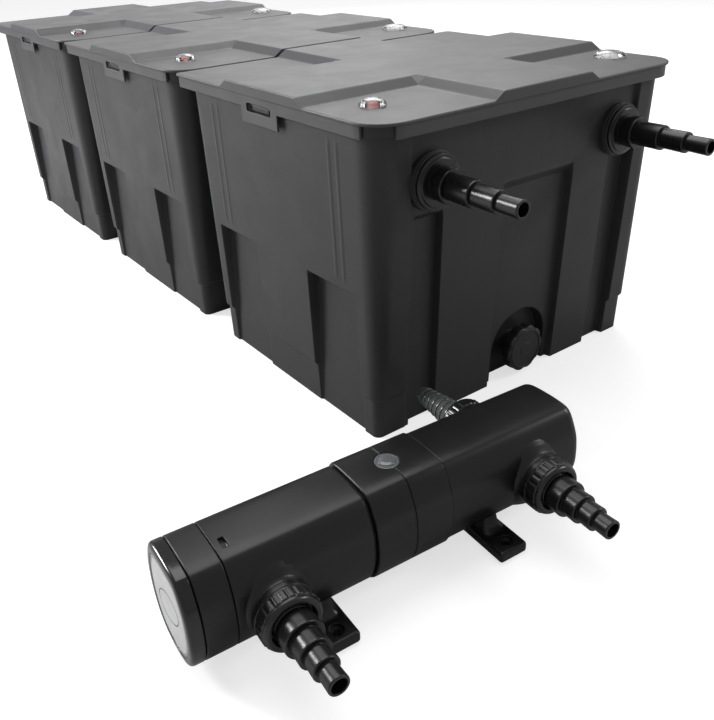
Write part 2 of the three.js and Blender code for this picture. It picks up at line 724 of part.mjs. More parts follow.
// A slab of filter material lying between two heights
function mediaSlab(from, to) {
  const middle = (GRID_FRONT + GRID_BACK) / 2;
  const halfY = (GRID_BACK - GRID_FRONT) / 2 - MEDIA_INSET;
  const corner = roundedRect(GRID_HALF_X - MEDIA_INSET, halfY, MEDIA_CORNER);
  const outline = corner.map(([x, y]) => [x, y + middle]);
  return skin([ring(outline, from), ring(outline, to)]);
}

// An open crate with a row of windows through its front and back walls
function mediaCrate() {
  const x = GRID_HALF_X - MEDIA_INSET;
  const front = GRID_FRONT + MEDIA_INSET;
  const back = GRID_BACK - MEDIA_INSET;
  let crate = box(-x, x, front, back, MEDIA_BOTTOM, CRATE_TOP);
  crate = crate.subtract(box(
    -x + CRATE_WALL, x - CRATE_WALL, front + CRATE_WALL, back - CRATE_WALL,
    MEDIA_BOTTOM + CRATE_WALL, CRATE_TOP + 1,
  ));
  const spacing = (2 * x) / CRATE_WINDOWS;
  const sill = MEDIA_BOTTOM + CRATE_WINDOW.sill;
  const head = CRATE_TOP - CRATE_WINDOW.head;
  for (let column = 0; column < CRATE_WINDOWS; column += 1) {
    const left = -x + (column + 0.5) * spacing - CRATE_WINDOW.half;
    crate = crate.subtract(box(left, left + 2 * CRATE_WINDOW.half, front - 1, back + 1, sill, head));
  }
  return crate;
}

// One block that stands for the crate's bed of loose media
function bioMedia() {
  const inset = MEDIA_INSET + CRATE_WALL + BED_GAP;
  const x = GRID_HALF_X - inset;
  const low = MEDIA_BOTTOM + CRATE_WALL + GAP;
  return box(-x, x, GRID_FRONT + inset, GRID_BACK - inset, low, CRATE_TOP - BED_BELOW_RIM);
}

// ---------------------------------------------------------------- clarifier

// The barrel's outline at one place along it, drawn in by `inset` all round
function barrelRing(u, inset) {
  const spreadV = (UV_HALF_WIDTH - inset) / UV_HALF_WIDTH;
  const spreadZ = (UV_HALF_HEIGHT - inset) / UV_HALF_HEIGHT;
  const right = UV_HALF_OUTLINE.map(([v, z]) => [u, v * spreadV, UV_AXIS_Z + (z - UV_AXIS_Z) * spreadZ]);
  const left = right.slice(1, -1).reverse().map(([along, v, z]) => [along, -v, z]);
  return [...right, ...left].reverse();
}

function barrelLength(from, to, inset) {
  return skin([barrelRing(from, inset), barrelRing(to, inset)]);
}

function alongBarrel(body) {
  return facing(body, 'right').translate([0, 0, UV_AXIS_Z]);
}

function acrossBarrel(body, port) {
  return facing(body, port.facing < 0 ? 'front' : 'back').translate([port.u, 0, UV_AXIS_Z]);
}

// A cross-bar foot under the barrel with a bolt hole at each end
function barrelFoot(u) {
  const half = UV_FOOT_HALF_WIDTH;
  const reach = UV_FOOT_REACH;
  const cut = UV_FOOT_CORNER;
  const outline = [
    [u - half, -reach + cut], [u - half + cut, -reach], [u + half - cut, -reach], [u + half, -reach + cut],
    [u + half, reach - cut], [u + half - cut, reach], [u - half + cut, reach], [u - half, reach - cut],
  ];
  const plate = prism(outline, 'z', 0, UV_FOOT_HEIGHT);
  const saddle = box(u - half + 3, u + half - 3, -40, 40, UV_FOOT_HEIGHT - 1, 30);
  const bolts = [-UV_BOLT_AT, UV_BOLT_AT].map((v) => (
    bar(UV_BOLT_RADIUS, -1, UV_FOOT_HEIGHT + 1, ROUND_SMALL).translate([u, v, 0])
  ));
  return union(plate, saddle).subtract(union(...bolts));
}

// Spigots for the ports that stand on the stretch of barrel between two places
function portsBetween(from, to, radius, start, end) {
  const ports = UV_PORTS.filter((port) => port.u > from && port.u < to);
  return union(...ports.map((port) => acrossBarrel(bar(radius, start, end), port)));
}

function housingLeft() {
  const outside = union(
    barrelLength(UV_HEAD_END + GAP, UV_BAND_FROM - GAP, 0),
    barrelLength(UV_BAND_FROM - 1, UV_JOIN - GAP / 2, UV_BAND_SEAT + GAP),
    portsBetween(UV_HEAD_END, UV_JOIN, UV_SPIGOT_RADIUS, UV_SPIGOT_ROOT, UV_SPIGOT_END),
    barrelFoot(UV_FEET[0]),
  );
  const slot = box(52, 58, -18, -4, 119, 124);
  return outside
    .subtract(barrelLength(UV_HEAD_END - 1, UV_JOIN + 1, UV_WALL))
    .subtract(portsBetween(UV_HEAD_END, UV_JOIN, UV_PORT_BORE, 20, UV_SPIGOT_END + 1))
    .subtract(slot);
}

function housingRight() {
  const end = skin([
    barrelRing(UV_BAND_TO + GAP, 0),
    barrelRing(UV_LENGTH - 10, 0),
    barrelRing(UV_LENGTH - 4, 1.5),
    barrelRing(UV_LENGTH, 6),
  ]);
  const outside = union(
    end,
    barrelLength(UV_JOIN + GAP / 2, UV_BAND_TO + 1, UV_BAND_SEAT + GAP),
    portsBetween(UV_JOIN, UV_LENGTH, UV_SPIGOT_RADIUS, UV_SPIGOT_ROOT, UV_SPIGOT_END),
    barrelFoot(UV_FEET[1]),
  );
  return outside
    .subtract(barrelLength(UV_JOIN - 1, UV_LENGTH - 8, UV_WALL))
    .subtract(portsBetween(UV_JOIN, UV_LENGTH, UV_PORT_BORE, 20, UV_SPIGOT_END + 1))
    .subtract(alongBarrel(bar(UV_PLUG.shank + GAP, UV_LENGTH - UV_PLUG.depth, UV_LENGTH + 1)));
}

function band() {
  return barrelLength(UV_BAND_FROM, UV_BAND_TO, -UV_BAND_PROUD)
    .subtract(barrelLength(UV_BAND_FROM - 1, UV_BAND_TO + 1, UV_BAND_SEAT))
    .subtract(bar(UV_LENS_RADIUS + GAP, UV_LENS_SEAT, UV_LENS_SEAT + 5).translate([UV_JOIN, 0, 0]));
}

function indicatorLens() {
  const low = UV_LENS_SEAT + GAP;
  return turned([
    [0, low], [UV_LENS_RADIUS, low], [UV_LENS_RADIUS, low + 1.6], [UV_LENS_RADIUS * 0.7, low + 3],
    [0, low + 3.6],
  ]).translate([UV_JOIN, 0, 0]);
}

function endPlug() {
  const seat = UV_LENGTH + GAP;
  const { shank, flange, crown, depth } = UV_PLUG;
  return alongBarrel(turned([
    [0, seat - depth], [shank, seat - depth], [shank, seat], [flange, seat], [flange, seat + 4],
    [crown, seat + 7], [0, seat + 8],
  ]));
}

function head() {
  const spigotEnd = UV_HEAD_END + HEAD_SPIGOT;
  const groove = barrelLength(HEAD_SEAL.from, HEAD_SEAL.to, UV_SPIGOT_INSET - 1)
    .subtract(barrelLength(HEAD_SEAL.from - 1, HEAD_SEAL.to + 1, HEAD_SEAL.inset));
  return union(
    barrelLength(UV_BEZEL_END + GAP, UV_HEAD_END - GAP, 0),
    barrelLength(UV_HEAD_END - 1, spigotEnd, UV_SPIGOT_INSET),
  )
    .subtract(barrelLength(UV_BEZEL_END - 1, UV_HEAD_END - 12, 5))
    .subtract(alongBarrel(bar(SLEEVE.radius + GAP, UV_BEZEL_END, spigotEnd + 1)))
    .subtract(groove)
    .subtract(facing(bar(CABLE.gland, 30, 60, ROUND_SMALL), 'back').translate([CABLE.u, 0, CABLE.z]));
}

function headSeal() {
  return barrelLength(HEAD_SEAL.from + GAP, HEAD_SEAL.to - GAP, UV_WALL + 0.2)
    .subtract(barrelLength(HEAD_SEAL.from - 1, HEAD_SEAL.to + 1, HEAD_SEAL.inset - GAP));
}

function bezel() {
  const face = skin([
    barrelRing(0, 3.5),
    barrelRing(1.2, 1.2),
    barrelRing(4, 0),
    barrelRing(UV_BEZEL_END, 0),
  ]);
  return face.subtract(barrelLength(-1, 1.6, UV_LABEL_INSET));
}

function label() {
  return barrelLength(0.5, 1.3, UV_LABEL_INSET + GAP);
}

function quartzSleeve() {
  const { radius, wall, from, to } = SLEEVE;
  const inner = radius - wall;
  return alongBarrel(turned([
    [radius, from], [radius, to - 12], [radius * 0.75, to - 4], [0, to],
    [0, to - wall], [inner * 0.72, to - 4 - wall], [inner, to - 13], [inner, from], [radius, from],
  ]));
}

// A twin-tube lamp: base, two glass legs and the bridge that joins them at the far end
function lamp() {
  const { baseRadius, baseFrom, baseTo, legRadius, legOffset, legEnd } = LAMP;
  const leg = alongBarrel(bar(legRadius, baseTo - 2, legEnd, ROUND_SMALL));
  const legs = [-legOffset, legOffset].map((offset) => leg.translate([0, 0, offset]));
  const bridge = box(legEnd - 12, legEnd - 6, -3, 3, UV_AXIS_Z - 6, UV_AXIS_Z + 6);
  return union(alongBarrel(bar(baseRadius, baseFrom, baseTo)), bridge, ...legs);
}

// A ribbed union nut, bored to clear the spigot's thread and lipped to hold the tail's flange
function unionNut(port) {
  const ribOrGroove = (angle, step) => (step % 4 < 2 ? UV_NUT_RADIUS : UV_NUT_RADIUS - UV_NUT_GROOVE);
  const outline = toothedOutline(UV_NUT_RIBS * 4, ribOrGroove);
  const chamfered = shrunk(outline, 0.93);
  const blank = skin([
    ring(outline, UV_NUT_BACK),
    ring(outline, UV_NUT_FRONT - 4),
    ring(chamfered, UV_NUT_FRONT),
  ]);
  const thread = bar(UV_SPIGOT_RADIUS + THREAD_CLEARANCE, UV_NUT_BACK - 1, UV_NUT_FRONT - 6);
  const mouth = bar(UV_NUT_MOUTH, UV_NUT_BACK, UV_NUT_FRONT + 1);
  return acrossBarrel(blank.subtract(thread).subtract(mouth), port);
}

// The hose tail a union nut holds: stepped at the front, barbed at the rear
function clarifierTail(port) {
  const seat = UV_SPIGOT_END + GAP;
  const bore = TAIL_BORE_WIDE - 1;
  const { radius, thickness, neck } = UV_TAIL_FLANGE;
  const isRear = port.name === 'rear';
  const { points, end } = isRear ? barbedTail(UV_TAIL_START) : steppedTail(UV_TAIL_STEPS, UV_TAIL_START);
  return acrossBarrel(turned([
    [bore, seat], [radius, seat], [radius, seat + thickness],
    [neck, seat + thickness], [neck, UV_TAIL_START - 1],
    ...points,
    [TAIL_BORE_NARROW, end], [TAIL_BORE_NARROW, end - 30], [bore, end - 50], [bore, seat],
  ]), port);
}

// The rear tail narrows through a run of saw-tooth barbs
function barbedTail(start) {
  const { count, length, radius, shrink, depth } = BARBS;
  const end = start + count * length;
  const points = [];
  for (let barb = 0; barb < count; barb += 1) {
    const height = start + barb * length;
    const crest = radius - barb * shrink;
    points.push([crest, height], [crest - depth, height + length - STEP_FLARE]);
  }
  const [tipRadius] = points[points.length - 1];
  points.push([tipRadius, end]);
  return { points, end };
}

// The mains lead, cut short: out of the back of the head, down to the floor and along behind the barrel
function cable() {
  const path = new THREE.CatmullRomCurve3([
    new THREE.Vector3(CABLE.u, 44, CABLE.z),
    new THREE.Vector3(CABLE.u, 60, CABLE.z - 2),
    new THREE.Vector3(CABLE.u + 2, 78, CABLE.z - 16),
    new THREE.Vector3(CABLE.u + 14, 88, 12),
    new THREE.Vector3(CABLE.u + 36, 90, 5.2),
    new THREE.Vector3(CABLE.u + 72, 90, 5),
  ]);
  const section = new THREE.Shape();
  section.absarc(0, 0, CABLE.radius, 0, 2 * Math.PI);
  return solid(new THREE.ExtrudeGeometry(section, { steps: 10, curveSegments: 4, extrudePath: path }));
}

// ---------------------------------------------------------------- build

function addChamber(index) {
  const at = [0, index * PITCH, 0];
  const tag = index + 1;
  place(`tank_${tag}`, chamberShell(), shellPlastic(), at);
  place(`lid_${tag}`, lid(), lidPlastic(), at);
  place(`drain_cap_${tag}`, drainCap(), shellPlastic(), at);
  const dirtAt = [DIRT_SPOT[0], DIRT_SPOT[1] + at[1], 0];
  place(`dirt_lens_${tag}`, dirtLens(), clearPlastic(), dirtAt);
  place(`dirt_float_${tag}`, dirtFloat(), material(0xb3261e, 0.4), dirtAt);
  const thermoAt = [THERMO_SPOT[0], THERMO_SPOT[1] + at[1], 0];
  place(`thermo_lens_${tag}`, thermoLens(), clearPlastic(), thermoAt);
  place(`thermometer_${tag}`, thermometer(), material(0xe8e8e4, 0.5), thermoAt);
  place(`media_grid_${tag}`, mediaGrid(), material(0x202022, 0.6), at);
}

function addFittings() {
  PORT_SIDES.forEach((side, index) => {
    const x = PORT_X[index];
    place(`inlet_tail_${side}`, facing(inletTail(), 'front'), glossPlastic(), [x, 0, PORT_Z]);
    place(`inlet_gasket_${side}`, facing(inletGasket(), 'front'), sealRubber(), [x, 0, PORT_Z]);
    place(`inlet_nut_${side}`, facing(inletNut(), 'front'), glossPlastic(), [x, 0, PORT_Z]);
    place(`link_12_${side}`, facing(linkPipe(), 'back'), glossPlastic(), [x, 0, PORT_Z]);
    place(`link_23_${side}`, facing(linkPipe(), 'back'), glossPlastic(), [x, PITCH, PORT_Z]);
    place(`outlet_pipe_${side}`, facing(outletPipe(), 'back'), glossPlastic(), [x, 2 * PITCH, PORT_Z]);
  });
}

function addMedia() {
  const second = [0, PITCH, 0];
  const third = [0, 2 * PITCH, 0];
  const coarseTop = MEDIA_BOTTOM + FOAM_COARSE_HEIGHT;
  const matTop = MEDIA_BOTTOM + MAT_HEIGHT;
  place('foam_coarse', mediaSlab(MEDIA_BOTTOM, coarseTop), material(0x2c5f8f, 0.95));
  place('foam_fine', mediaSlab(coarseTop + GAP, coarseTop + FOAM_FINE_HEIGHT), material(0x2a2d30, 0.95));
  place('mat_lower', mediaSlab(MEDIA_BOTTOM, matTop), material(0x3f6f4a, 0.95), second);
  place('mat_upper', mediaSlab(matTop + GAP, matTop + MAT_HEIGHT), material(0x3f6f4a, 0.95), second);
  place('media_crate', mediaCrate(), material(0x1f3f6a, 0.6), third);
  place('bio_media', bioMedia(), material(0x6a6f73, 0.8), third);
}

function addClarifier() {
  const put = (name, body, look) => place(name, body, look, UV_PLACE, UV_TURN);
  put('uv_bezel', bezel(), glossPlastic());
  put('uv_label', label(), material(0xd9dadb, 0.35));
  put('uv_head', head(), clarifierPlastic());
  put('uv_head_seal', headSeal(), sealRubber());
  put('uv_cable', cable(), sealRubber());
  put('uv_lamp', lamp(), material(0xf2f4f5, 0.2));
  put('uv_quartz_sleeve', quartzSleeve(), clearPlastic());
  put('uv_housing_left', housingLeft(), clarifierPlastic());
  put('uv_housing_right', housingRight(), clarifierPlastic());
  put('uv_band', band(), clarifierPlastic());
  put('uv_indicator_lens', indicatorLens(), clearPlastic());
  put('uv_end_plug', endPlug(), clarifierPlastic());
  for (const port of UV_PORTS) {
    put(`uv_nut_${port.name}`, unionNut(port), clarifierPlastic());
    put(`uv_tail_${port.name}`, clarifierTail(port), port.name === 'rear' ? clearPlastic() : glossPlastic());
  }
}

for (let index = 0; index < CHAMBERS; index += 1) addChamber(index);
addFittings();
addMedia();
addClarifier();

export default assembly;
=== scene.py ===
"""Looks of the pond filter: three lidded chambers in a row, and a clarifier on the floor in front."""

import json
import math
import random

import bmesh
import bpy
import numpy as np
from mathutils import Matrix, Vector, noise


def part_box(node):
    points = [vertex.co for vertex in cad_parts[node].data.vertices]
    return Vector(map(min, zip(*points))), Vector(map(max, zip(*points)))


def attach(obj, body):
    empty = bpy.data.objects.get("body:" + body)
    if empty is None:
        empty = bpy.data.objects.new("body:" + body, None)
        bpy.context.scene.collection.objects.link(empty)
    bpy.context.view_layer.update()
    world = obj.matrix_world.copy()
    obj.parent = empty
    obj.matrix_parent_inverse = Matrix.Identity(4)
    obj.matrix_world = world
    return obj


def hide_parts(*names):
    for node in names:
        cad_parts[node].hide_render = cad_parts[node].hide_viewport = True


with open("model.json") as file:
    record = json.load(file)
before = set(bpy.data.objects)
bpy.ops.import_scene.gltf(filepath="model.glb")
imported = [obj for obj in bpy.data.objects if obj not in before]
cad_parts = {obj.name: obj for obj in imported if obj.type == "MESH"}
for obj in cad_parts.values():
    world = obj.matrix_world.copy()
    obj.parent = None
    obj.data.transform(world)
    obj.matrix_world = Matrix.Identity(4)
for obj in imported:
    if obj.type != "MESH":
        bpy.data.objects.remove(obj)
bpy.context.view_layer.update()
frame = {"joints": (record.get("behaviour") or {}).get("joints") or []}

MM = 0.001
NOISE_SEED = 5
noise.seed_set(NOISE_SEED)  # the slabs' waves come out the same in every run

# ---------------------------------------------------------------- sizes, in millimetres

CHAMBERS = (1, 2, 3)
GAP = 0.3  # clearance between pieces that rest on or pass through each other

# Chamber shell
BASE_HALF = (249.0, 198.0)
TOP_HALF = (255.0, 219.0)
SHELL_TOP = 398.0
RIM_TOP = 411.2
RIM_HALF = (258.0, 227.0)
RIM_WALL = 5.0
WALL = 4.0
FLOOR = 5.0
CORNER = 34.0  # under the rim; the corners sharpen towards the floor
FOOT_CORNER = 14.0
TIGHTEST_CORNER = 3.0
RIM_CORNER = 38.0
BAND_INSET = 4.0  # the foot of the shell is drawn in by this
BAND_TOP = 60.0
BAND_STEP = 5.0
EDGE_OUT = 1.5  # a recess's side starts this far outside its line, and ends this far inside it
EDGE_IN = 2.5
EDGE_LINES = (-EDGE_OUT, -0.5, 0.5, 1.5, EDGE_IN)  # where the mesh lines follow that side
RECESS_FOOT = -1.0  # the recesses run down past the floor
PANEL = dict(span=(-200, 200), top=396, depth=(5, 6), ramp=0)
FRONT_POCKETS = (
    dict(span=(-192, -146), top=286, depth=(14, 17), ramp=12),
    dict(span=(-45, 87), top=290, depth=(14, 17), ramp=22),
    dict(span=(160, 206), top=298, depth=(14, 17), ramp=12),
)
SIDE_POCKETS = (
    dict(span=(-169, -65), top=194, depth=(7, 16), ramp=6),
    dict(span=(65, 169), top=194, depth=(7, 16), ramp=6),
)
RIB_AT = (-148, -132, 132, 148)
RIB_SPAN = (206, 388)
RIB_HEIGHT = 0.75
RIB_HALF = 4.5
RIB_FADE = 12

# Openings in the shell
PORT_X = (-168.0, 166.0)
PORT_Z = 335.0
PORT_HOLE = 21.2
PORT_SHANK = 20.9
BOSS_RADIUS = 36.0
BOSS_INNER = 202.0
BOSS_OUTER = 218.5
DRAIN_X = 22.0
DRAIN_Z = 41.0
ARCH_HALF = 54.0
ARCH_SPRING = 45.0
ARCH_BACK = 168.0
DRAIN_SPIGOT = 17.0
DRAIN_BORE = 12.0
DRAIN_SPIGOT_END = 196.0
CAP_RADIUS = 35.0
CAP_BACK = 186.0
CAP_FACE = 203.0

# Lid
LID_HALF = (265.0, 234.0)
LID_FRONT_CORNER = 44.0
LID_BACK_CORNER = 8.0
LID_LOW = 415.0
LID_RISE = 10.0
LID_PLATE = 3.5
LID_LIP = 3.0
SKIRT_WALL = 3.0
SKIRT_BOTTOM = 396.0
LID_EDGE = 1.5
LID_INSETS = (0, 0.15, 0.5, 1.0, LID_EDGE, 3, 5.5, 8, 11, 15, 20, 26, 33, 40, 44)  # its mesh lines
ARM_X = (91.0, 76.0)
ARM_Y = (99.0, 82.0)
NOTCH = 33.0
LATCH_Y = 7.0
LATCH_HALF = 43.0
LATCH_BOTTOM = 376.0
SLOT_HALF = 29.0
SLOT_Z = (391.0, 402.0)
CATCH_HALF = 20.0
CATCH_FACE = 258.6

# Instruments in the lids
DIRT_LENS = (16.0, 12.0, 5.0)  # radii of the rim, of the collar below it and of the lip at the foot
THERMO_LENS = (22.0, 17.0, 11.0)
COLLAR_BOTTOM = 408.0
LENS_SEAT = 415.3
LENS_HEIGHT = 9.0
LENS_WALL = 1.6
LENS_RING = 2.0  # height of the rim that the dome springs from
ARC_STEPS = [math.radians(90 * step / 12) for step in range(13)]
FLOAT_Z = (318.0, 346.0)
PROBE_BOTTOM = 300.0
DIAL_RADIUS = 14.8
DIAL_FACE = 413.9
DIAL_START = math.radians(225)
DIAL_SWEEP = math.radians(270)
NEEDLE_ANGLE = math.radians(128)
DIAL_TICKS = 40
DIAL_NUMBERS = 5

# Drain cap and water fittings: heights are distances from the chamber's middle, along the way they face
CAP_LOBES = 10
CAP_SCALLOP = 2.4
CAP_SOCKET = 6.0  # how far behind the face the socket ends
CAP_BORE = 17.5
BORE_WIDE = 15.0
BORE_NARROW = 7.8
GASKET = (21.3, 35.0, 218.8, 221.8)  # bore, radius, back face, front face
FLANGE_SEAT = 222.1
FLANGE_RADIUS = 33.0
HUB_RADIUS = 29.0
HUB_END = 6.0
TAIL_STEPS = ((21, 20), (16.3, 37), (13.6, 35), (10.8, 32))
NUT_FLATS = 26.8
BACKNUT = (190.7, 201.7)
PIPE_REACH = 14.0  # how far a pipe stands out of a boss inside the chamber
LINK_BORE = 17.5
LINK_COLLAR = 30.0
LINK_SLEEVE = 26.0
OUTLET_COLLAR = 34.0
OUTLET_RADIUS = 25.0
OUTLET_BORE = 21.5
OUTLET_LENGTH = 90.0

# Media
GRID_HALF_X = 222.0
GRID_Y = (-158.0, 166.0)
GRID_Z = (60.0, 66.0)
GRID_FRAME = 9.0
GRID_BARS = 30
SLAB_CELLS = (44, 32, 8)
SLAB_ROUNDING = 5.0
SLAB_INSET = 5.0  # kept between a slab and the chamber's walls
SLAB_WAVES = (0.035, 0.21)  # how many of each slab's broad and fine waves go into a millimetre
MEDIA_LOW = 66.3
CRATE_TOP = 240.0
CRATE_WALL = 4.0
CRATE_BARS = 24
BED_PITCH = 15.5
BED_REACH = 9.8  # half the diagonal of one loose ring

# Clarifier, in its own axes: u along the barrel, v across it, z up
UV_AXIS = 66.0
UV_LENGTH = 460.0
UV_HALF_WIDTH = 50.0
UV_HALF_HEIGHT = 55.0
UV_OUTLINE = (
    (0, 123.5), (14, 123.2), (25, 122.3), (31.5, 120.3), (36, 116), (39.5, 110.5), (42.6, 104), (46, 96.5),
    (48.5, 88), (49.7, 77), (50, 66), (49.3, 55.5), (47, 46), (43.7, 37), (39, 29), (32.3, 22.4),
    (24, 17.6), (12.4, 14.8), (0, 14),
)
UV_PORTS = {"front_left": (84, -1), "front_right": (396, -1), "rear": (396, 1)}
UV_FEET = (134, 343)
UV_BAND = (192.0, 282.0)
UV_JOIN = 237.0
UV_PROUD = 1.8
UV_HEAD_END = 45.0
UV_WALL = 6.0
UV_BORE = 15.0
UV_SPIGOT_END = 68.0
UV_NECK = 6.5  # how far the head's neck is drawn in from the barrel's outside
UV_SEAL_GROOVE = (49.9, 54.1, 9.6)  # its two sides, and how far its floor is drawn in
UV_BAND_SEAT = 3.3  # how far the housings are drawn in under the band
UV_FOOT_REACH = 78.0
UV_FOOT_HALF = 18.0
UV_FOOT_HEIGHT = 13.0
UV_BOLT_AT = 63.0
UV_BOLT = 4.0
UV_LENS = 13.0
UV_LENS_SEAT = 123.4
UV_PLUG_SHANK = 14.0
UV_TAIL_START = 80.0
UV_TAIL_BORE = 14.0
UV_FLANGE = 23.6
UV_FLANGE_HEIGHT = 7.0
UV_TAIL_STEPS = ((20, 20), (16.3, 18), (13.4, 18), (10.5, 19))
UV_BARBS = (8, 9.2, 19.0, 1.05, 2.2)  # how many, length, first crest radius, narrowing of each, depth
NUT_RADIUS = 30.5
NUT_GROOVES = 24
NUT_GROOVE = 0.9
SLEEVE_RADIUS = 15.0
SLEEVE_SPAN = (36.0, 436.0)
SLEEVE_WALL = 1.5
LAMP_LEG = 5.4
LAMP_SPREAD = 6.6
LAMP_SPAN = (71.0, 392.0)
CABLE_U = 30.0
CABLE_Z = 44.0
CABLE_RADIUS = 4.0

# Floor, lights and camera, in metres: each light's name, place, aim, size and power
FLOOR_SIZE = 12.0
FLOOR_DROP = 0.0004  # keeps the floor just clear of the undersides
FLOOR_TONE = (0.50, 0.50, 0.50)
FLOOR_GLOW = 0.66  # only the camera sees it, so the floor runs out to white without lighting the object
WORLD_STRENGTH = 0.42
LIGHTS = (
    ("key", (-2.1, 2.4, 1.6), (0.0, 0.7, 0.2), (0.8, 0.8), 114.0),
    ("top", (0.1, 0.8, 3.0), (0.0, 0.3, 0.0), (2.6, 2.2), 52.0),
    ("sheen", (1.9, 2.3, 2.3), (0.0, 0.0, 0.2), (2.0, 1.2), 30.0),
    ("back", (1.5, 4.4, 1.2), (0.0, 0.6, 0.4), (3.6, 1.4), 13.0),
    ("graze", (2.6, -1.7, 1.9), (0.0, -0.2, 0.2), (0.8, 0.8), 34.0),
)
CAMERA_AT = (-0.763894, -0.882484, 0.614594)
CAMERA_TURN = (62.979, 2.296, -36.870)
CAMERA_LENS = 40.323
CAMERA_SHIFT = -0.05556

# ---------------------------------------------------------------- gathering shapes


class Shape:
    """Points in millimetres and faces, gathered for one piece."""

    def __init__(self):
        self.points = []
        self.faces = []

    def add(self, points, faces):
        base = len(self.points)
        self.points.extend(tuple(float(c) for c in p) for p in points)
        self.faces.extend(tuple(base + i for i in face) for face in faces)
        return self

    def join(self, *others):
        for other in others:
            self.add(other.points, other.faces)
        return self

    def turned(self, matrix):
        made = Shape()
        made.add([matrix @ Vector(p) for p in self.points], self.faces)
        return made

    def moved(self, x, y, z):
        return self.turned(Matrix.Translation((x, y, z)))


FRONT = Matrix.Rotation(math.radians(90), 4, "X")  # turns a height along Z into one along -Y
BACK = Matrix.Rotation(math.radians(-90), 4, "X")
RIGHT = Matrix.Rotation(math.radians(90), 4, "Y")


def loft(rings, cap_start=True, cap_end=True):
    """A skin over closed rings that have the same number of points."""
    count = len(rings[0])
    points = [p for ring in rings for p in ring]
    faces = []
    for level in range(len(rings) - 1):
        for side in range(count):
            here = level * count + side
            there = level * count + (side + 1) % count
            faces.append((here, there, there + count, here + count))
    if cap_start:
        faces.append(tuple(reversed(range(count))))
    if cap_end:
        top = (len(rings) - 1) * count
        faces.append(tuple(range(top, top + count)))
    return Shape().add(points, faces)


def soften(profile, radius=0.6, steps=3):
    """A polyline with each inner corner rounded off."""
    made = [profile[0]]
    for before, corner, after in zip(profile, profile[1:], profile[2:]):
        a, b, c = (np.array(p, float) for p in (before, corner, after))
        to_a, to_c = a - b, c - b
        len_a, len_c = np.linalg.norm(to_a), np.linalg.norm(to_c)
        if len_a < 1e-6 or len_c < 1e-6:
            continue
        reach = min(radius, len_a * 0.45, len_c * 0.45)
        start, end = b + to_a / len_a * reach, b + to_c / len_c * reach
        for step in range(steps + 1):
            t = step / steps
            made.append(tuple((1 - t) ** 2 * start + 2 * t * (1 - t) * b + t * t * end))
    made.append(profile[-1])
    return made


def lathe(profile, segments=72, radius=0.6, closed=False):
    """A turned piece about Z from (radius, height) points. `closed` joins the profile's two ends."""
    if closed:
        profile = list(profile) + [profile[0]]
    profile = soften(profile, radius)
    points, rows = [], []
    for r, h in profile:
        if r < 1e-6:
            rows.append([len(points)] * segments)
            points.append((0, 0, h))
            continue
        rows.append(list(range(len(points), len(points) + segments)))
        for i in range(segments):
            angle = 2 * math.pi * i / segments
            points.append((r * math.cos(angle), r * math.sin(angle), h))
    faces = []
    for low, high in zip(rows, rows[1:]):
        for i in range(segments):
            j = (i + 1) % segments
            face = tuple(dict.fromkeys((low[i], low[j], high[j], high[i])))
            if len(face) > 2:
                faces.append(face)
    return Shape().add(points, faces)


def shape_of(bm):
    """The points and faces of a bmesh, which is freed."""
    bm.verts.index_update()
    made = Shape().add([v.co for v in bm.verts], [[v.index for v in f.verts] for f in bm.faces])
    bm.free()
    return made


def block(x, y, z, bevel=1.0, segments=2):
    """A box between pairs of limits, with rounded edges."""
    bm = bmesh.new()
    bmesh.ops.create_cube(bm, size=1)
    for vert in bm.verts:
        vert.co = Vector(sum(pair) / 2 + c * (pair[1] - pair[0]) for c, pair in zip(vert.co, (x, y, z)))
    bmesh.ops.bevel(bm, geom=bm.edges[:], offset=bevel, segments=segments, profile=0.5, affect="EDGES")
    return shape_of(bm)


def on_curve(p0, p1, p2, p3, t):
    """A point between p1 and p2, on the smooth curve through all four."""
    return 0.5 * ((2 * p1) + (p2 - p0) * t + (2 * p0 - 5 * p1 + 4 * p2 - p3) * t**2
                  + (3 * p1 - p0 - 3 * p2 + p3) * t**3)


def tube(path, radius, segments):
    """A round tube along a smooth path of points."""
    path = [Vector(p) for p in path]
    fine = []
    for i in range(len(path) - 1):
        p0, p1 = path[max(i - 1, 0)], path[i]
        p2, p3 = path[i + 1], path[min(i + 2, len(path) - 1)]
        fine.extend(on_curve(p0, p1, p2, p3, step / 8) for step in range(8))
    fine.append(path[-1])
    side = None
    rings = []
    for i, centre in enumerate(fine):
        along = (fine[min(i + 1, len(fine) - 1)] - fine[max(i - 1, 0)]).normalized()
        if side is None:
            side = along.orthogonal().normalized()
        side = (side - along * side.dot(along)).normalized()
        other = along.cross(side)
        rings.append([
            centre + radius * (math.cos(a) * side + math.sin(a) * other)
            for a in (2 * math.pi * k / segments for k in range(segments))
        ])
    return loft(rings)


def squared_circle(steps, power):
    """Points of a unit square with well rounded corners."""
    points = []
    for step in range(steps):
        angle = 2 * math.pi * step / steps
        cos, sin = math.cos(angle), math.sin(angle)
        points.append((
            math.copysign(abs(cos) ** power, cos), math.copysign(abs(sin) ** power, sin),
        ))
    return points


ROUND_SQUARE = squared_circle(56, 0.35)


def outline_loop(steps, radius_at):
    """A closed loop about Z whose radius follows a rule of the angle."""
    loop = []
    for step in range(steps):
        angle = 2 * math.pi * step / steps
        loop.append((radius_at(angle) * math.cos(angle), radius_at(angle) * math.sin(angle)))
    return loop


def at_height(loop, z, scale=1.0):
    return [(x * scale, y * scale, z) for x, y in loop]


# ---------------------------------------------------------------- pieces


